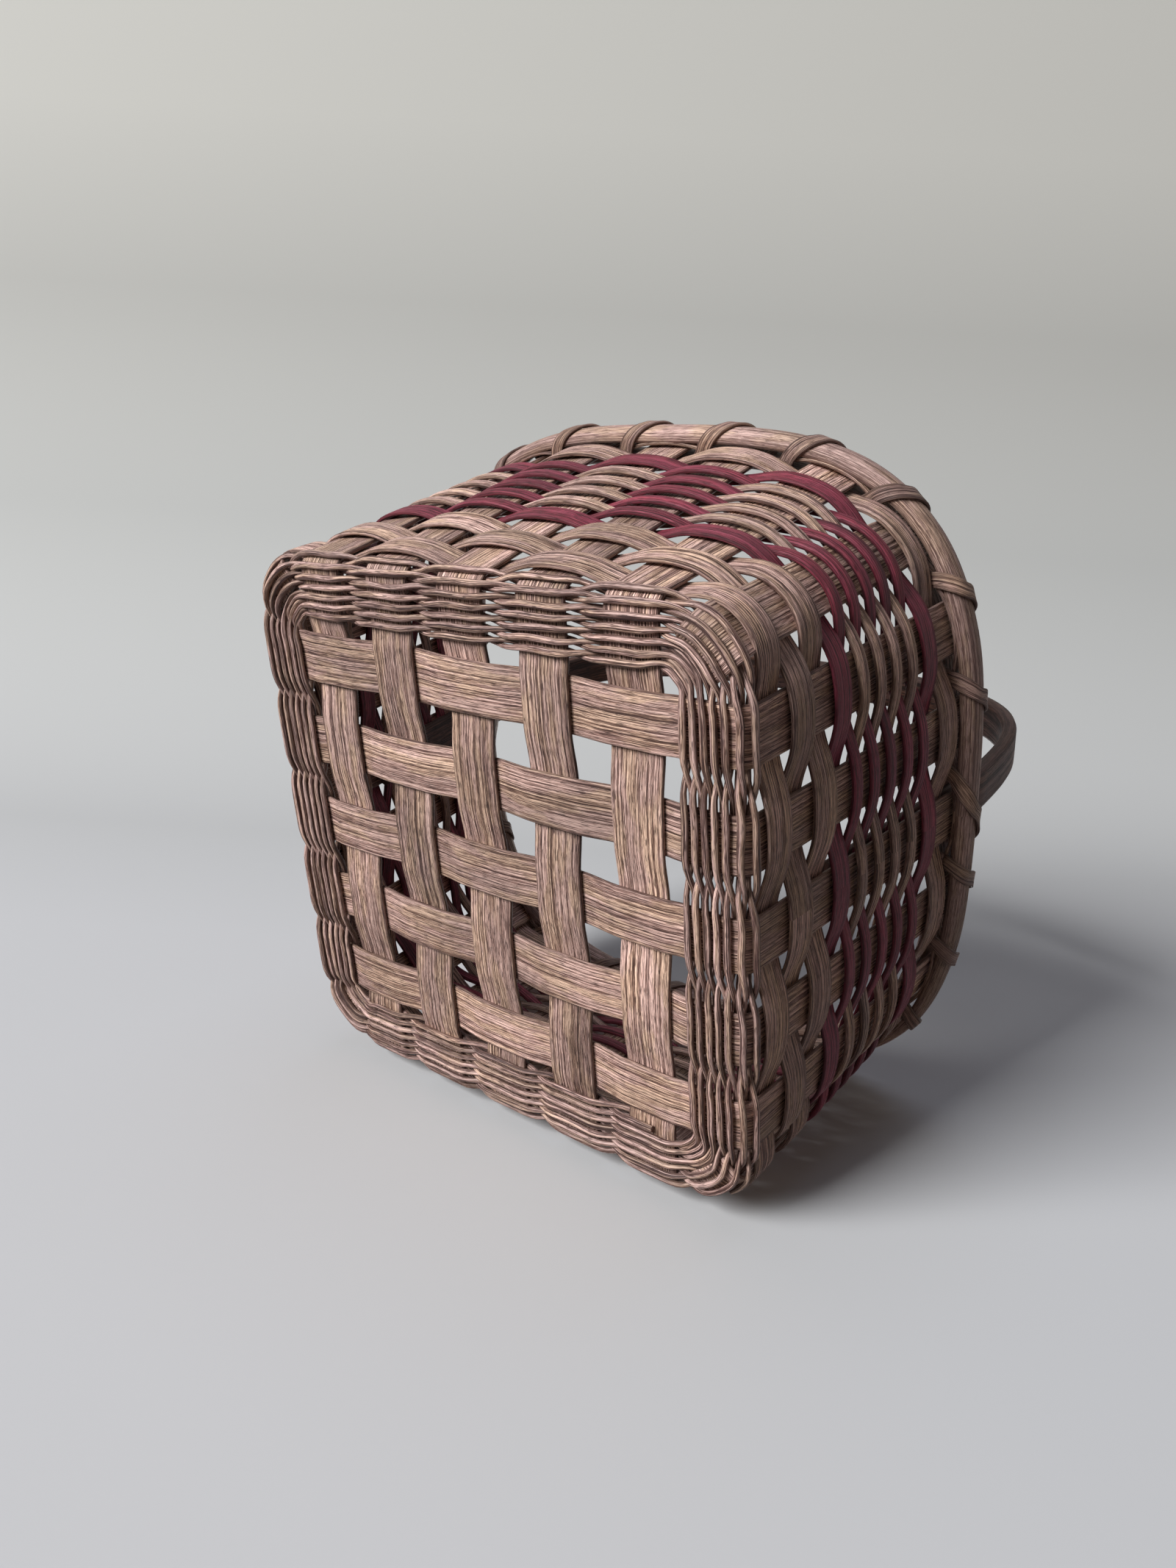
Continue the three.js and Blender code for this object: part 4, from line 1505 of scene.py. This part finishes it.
@dataclass
class Studio:
    """Camera at the photo's angle, soft lamps, and a paper floor that sweeps up behind.

    The basket lies on its +Y side, so the floor leans in the CAD frame: its up direction is
    mostly -Y.
    """

    eye: tuple[float, float, float] = (0.20535, -0.14654, -0.20455)
    right: tuple[float, float, float] = (0.79467, 0.05605, 0.60445)
    down: tuple[float, float, float] = (0.19367, 0.92028, -0.33996)
    forward: tuple[float, float, float] = (-0.57532, 0.38722, 0.72046)
    lens: float = 25.30
    film_width: float = 36.0
    clip_start: float = 0.01
    floor_up: tuple[float, float, float] = (0.0, -0.982, 0.188)
    floor_point: tuple[float, float, float] = (0.0, 0.1128, 0.106)
    # Ends of the sheet's flat part, start, radius and points of the bend, heights of the upright
    # part over the bend, and the climb at the start of the bend with what the bend adds, which lays
    # painted shade in the bend
    flat_run: tuple[float, float] = (-1.1, 0.2)
    sweep_start: float = 0.62
    sweep_radius: float = 0.35
    sweep_points: int = 24
    upright_rise: tuple[float, float] = (0.4, 1.6)
    bend_shade_climb: tuple[float, float] = (0.4, 0.3)
    sheet_side: float = 1.4
    # The middle tone is darker than the floor and the upright sheet: painted shade in the paper's
    # fold
    paper: StageFinish = StageFinish("pale_paper", ("C4C7CA", "B0B3B2", "CDCFCB"))
    fill_colour: str = "FFEADD"
    fill_strength: float = 0.1
    room_colour: str = "C6C7C9"
    aim: tuple[float, float, float] = (0.0, 0.0, 0.06)
    lamps: tuple[Lamp, ...] = (
        Lamp("lamp_left", (-4.6, 3.6, -3.0), 3.0, 660.0, "FFFDFC"),
        Lamp("lamp_above", (0.3, 3.2, 0.6), 2.0, 13.0, "D9E5FF"),
        Lamp("lamp_behind", (1.2, -1.6, 4.2), 2.2, 60.0, "FFFDFC"),
    )

    def camera(self) -> None:
        """Camera with the photo's place, direction and angle of view."""
        data = bpy.data.cameras.new("camera")
        data.lens = self.lens
        data.sensor_width = self.film_width
        data.clip_start = self.clip_start
        camera = add_object("camera", data)
        right, down, forward = map(np.array, (self.right, self.down, self.forward))
        camera.matrix_world = placement(right, -down, -forward, np.array(self.eye))
        bpy.context.scene.camera = camera

    def directions(self) -> tuple[np.ndarray, np.ndarray, np.ndarray]:
        """Directions of the floor as the camera sees it.

        Returns:
            Up from the floor, along it away from the camera, and to the right.
        """
        up = unit(np.array(self.floor_up))
        away = unit(without(np.array(self.forward), up))
        return up, away, np.cross(away, up)

    def floor(self) -> None:
        """Sheet of paper: flat, then a quarter circle (R sin a, R (1 - cos a)), then upright."""
        up, away, right = self.directions()
        eye = np.array(self.eye)
        foot = eye - up * np.dot(eye - np.array(self.floor_point), up)
        angle = np.linspace(0, math.pi / 2, self.sweep_points)
        radius = self.sweep_radius
        start, gain = self.bend_shade_climb
        end = self.sweep_start + radius
        run = np.concatenate([self.flat_run, self.sweep_start + radius * np.sin(angle), [end, end]])
        upright = radius + np.array(self.upright_rise)
        rise = np.concatenate([[0.0, 0.0], radius * (1 - np.cos(angle)), upright])
        # Climb through the bend, whose middle the paper's colours darken as painted shade
        climb = np.concatenate([[0.0, 0.0], start + gain * angle / angle[-1], [1.0, 1.0]])
        sides = np.array([-self.sheet_side, self.sheet_side])
        line = foot + away * run[:, None] + up * rise[:, None]
        grid = line[:, None] + right * sides[None, :, None]
        first = 2 * np.arange(len(run) - 1)[:, None]
        faces = first + np.array([0, 1, 3, 2])
        mesh = bpy.data.meshes.new("paper_sweep")
        mesh.from_pydata(grid.reshape(-1, 3).tolist(), [], faces.tolist())
        mesh.shade_smooth()
        mesh.update()
        if np.dot(mesh.polygons[0].normal, up) < 0:
            mesh.flip_normals()
        add_values(mesh, "climb", np.repeat(climb, len(sides)))
        mesh.materials.append(self.paper.material())
        sheet = add_object("paper_sweep", mesh)
        sheet.visible_diffuse = False
        sheet.visible_shadow = False

    def light(self, lamp: Lamp) -> None:
        """Hangs up a lamp and turns it to the basket.

        Args:
            lamp: the lamp.
        """
        up, away, right = self.directions()
        target = np.array(self.aim)
        across, above, beyond = lamp.offset
        place = target + right * across + up * above + away * beyond
        data = bpy.data.lights.new(lamp.name, "AREA")
        data.size = lamp.side
        data.energy = lamp.power
        data.color = linear(lamp.colour)[:3]
        back = unit(place - target)
        # A little off upright, so that the direction exists for a lamp straight overhead
        side = unit(np.cross(up + 0.001, back))
        hung = add_object(lamp.name, data)
        hung.matrix_world = placement(side, np.cross(back, side), back, place)

    def lights(self) -> None:
        """Soft lamps at the upper left, above and behind the paper, and a dim warm room.

        The paper neither shades nor lights the basket, so the lamp behind it reaches the sides
        that the camera does not see. Where no paper is seen, the room shows as pale.
        """
        for lamp in self.lamps:
            self.light(lamp)
        world = bpy.data.worlds.new("pale_room")
        world.use_nodes = True
        tree = world.node_tree
        tree.nodes.clear()
        rays = add_node(tree, "ShaderNodeLightPath")
        seen_by = (rays, "Is Camera Ray")
        for ray in ("Is Glossy Ray", "Is Transmission Ray"):
            inputs = {0: seen_by, 1: (rays, ray)}
            seen_by = (add_node(tree, "ShaderNodeMath", inputs, operation="MAXIMUM"), "Value")
        inputs = {"Color": linear(self.fill_colour), "Strength": self.fill_strength}
        fill = add_node(tree, "ShaderNodeBackground", inputs)
        seen = add_node(tree, "ShaderNodeBackground", {"Color": linear(self.room_colour)})
        inputs = {0: seen_by, 1: (fill, "Background"), 2: (seen, "Background")}
        mix = add_node(tree, "ShaderNodeMixShader", inputs)
        add_node(tree, "ShaderNodeOutputWorld", {"Surface": (mix, "Shader")})
        bpy.context.scene.world = world
        bpy.context.scene.view_settings.view_transform = "Standard"


def main() -> None:
    """Builds the studio and every sub-assembly in order."""
    logging.basicConfig(level=logging.INFO, format="%(name)s: %(message)s")
    studio = Studio()
    studio.camera()
    studio.floor()
    studio.lights()
    finishes = {
        Slot.STAKE: STAINED_FLAT_REED.material(),
        Slot.TWINE: STAINED_ROUND_REED.material(),
        Slot.BROWN: STAINED_FLAT_REED.material(),
        Slot.RED: DYED_FLAT_REED.material(),
        Slot.RIM: STAINED_HALF_ROUND_REED.material(),
        Slot.LASHING: STAINED_LASHING_REED.material(),
        Slot.HANDLE: STAINED_BENTWOOD.material(),
    }
    plan = BasketPlan()
    rim = Rim(plan)
    reeds = Stakes(plan).reeds() + TwinedBorder(plan).reeds() + SideRows(plan).reeds()
    reeds += rim.bands() + [rim.lashing(), Handle(plan).reed()]
    for reed in reeds:
        piece = reed.build()
        piece.data.materials.append(finishes[reed.slot])
        LOG.info("%s: %d faces, %s", reed.name, len(piece.data.polygons), reed.slot.value)


if __name__ == "__main__":
    main()
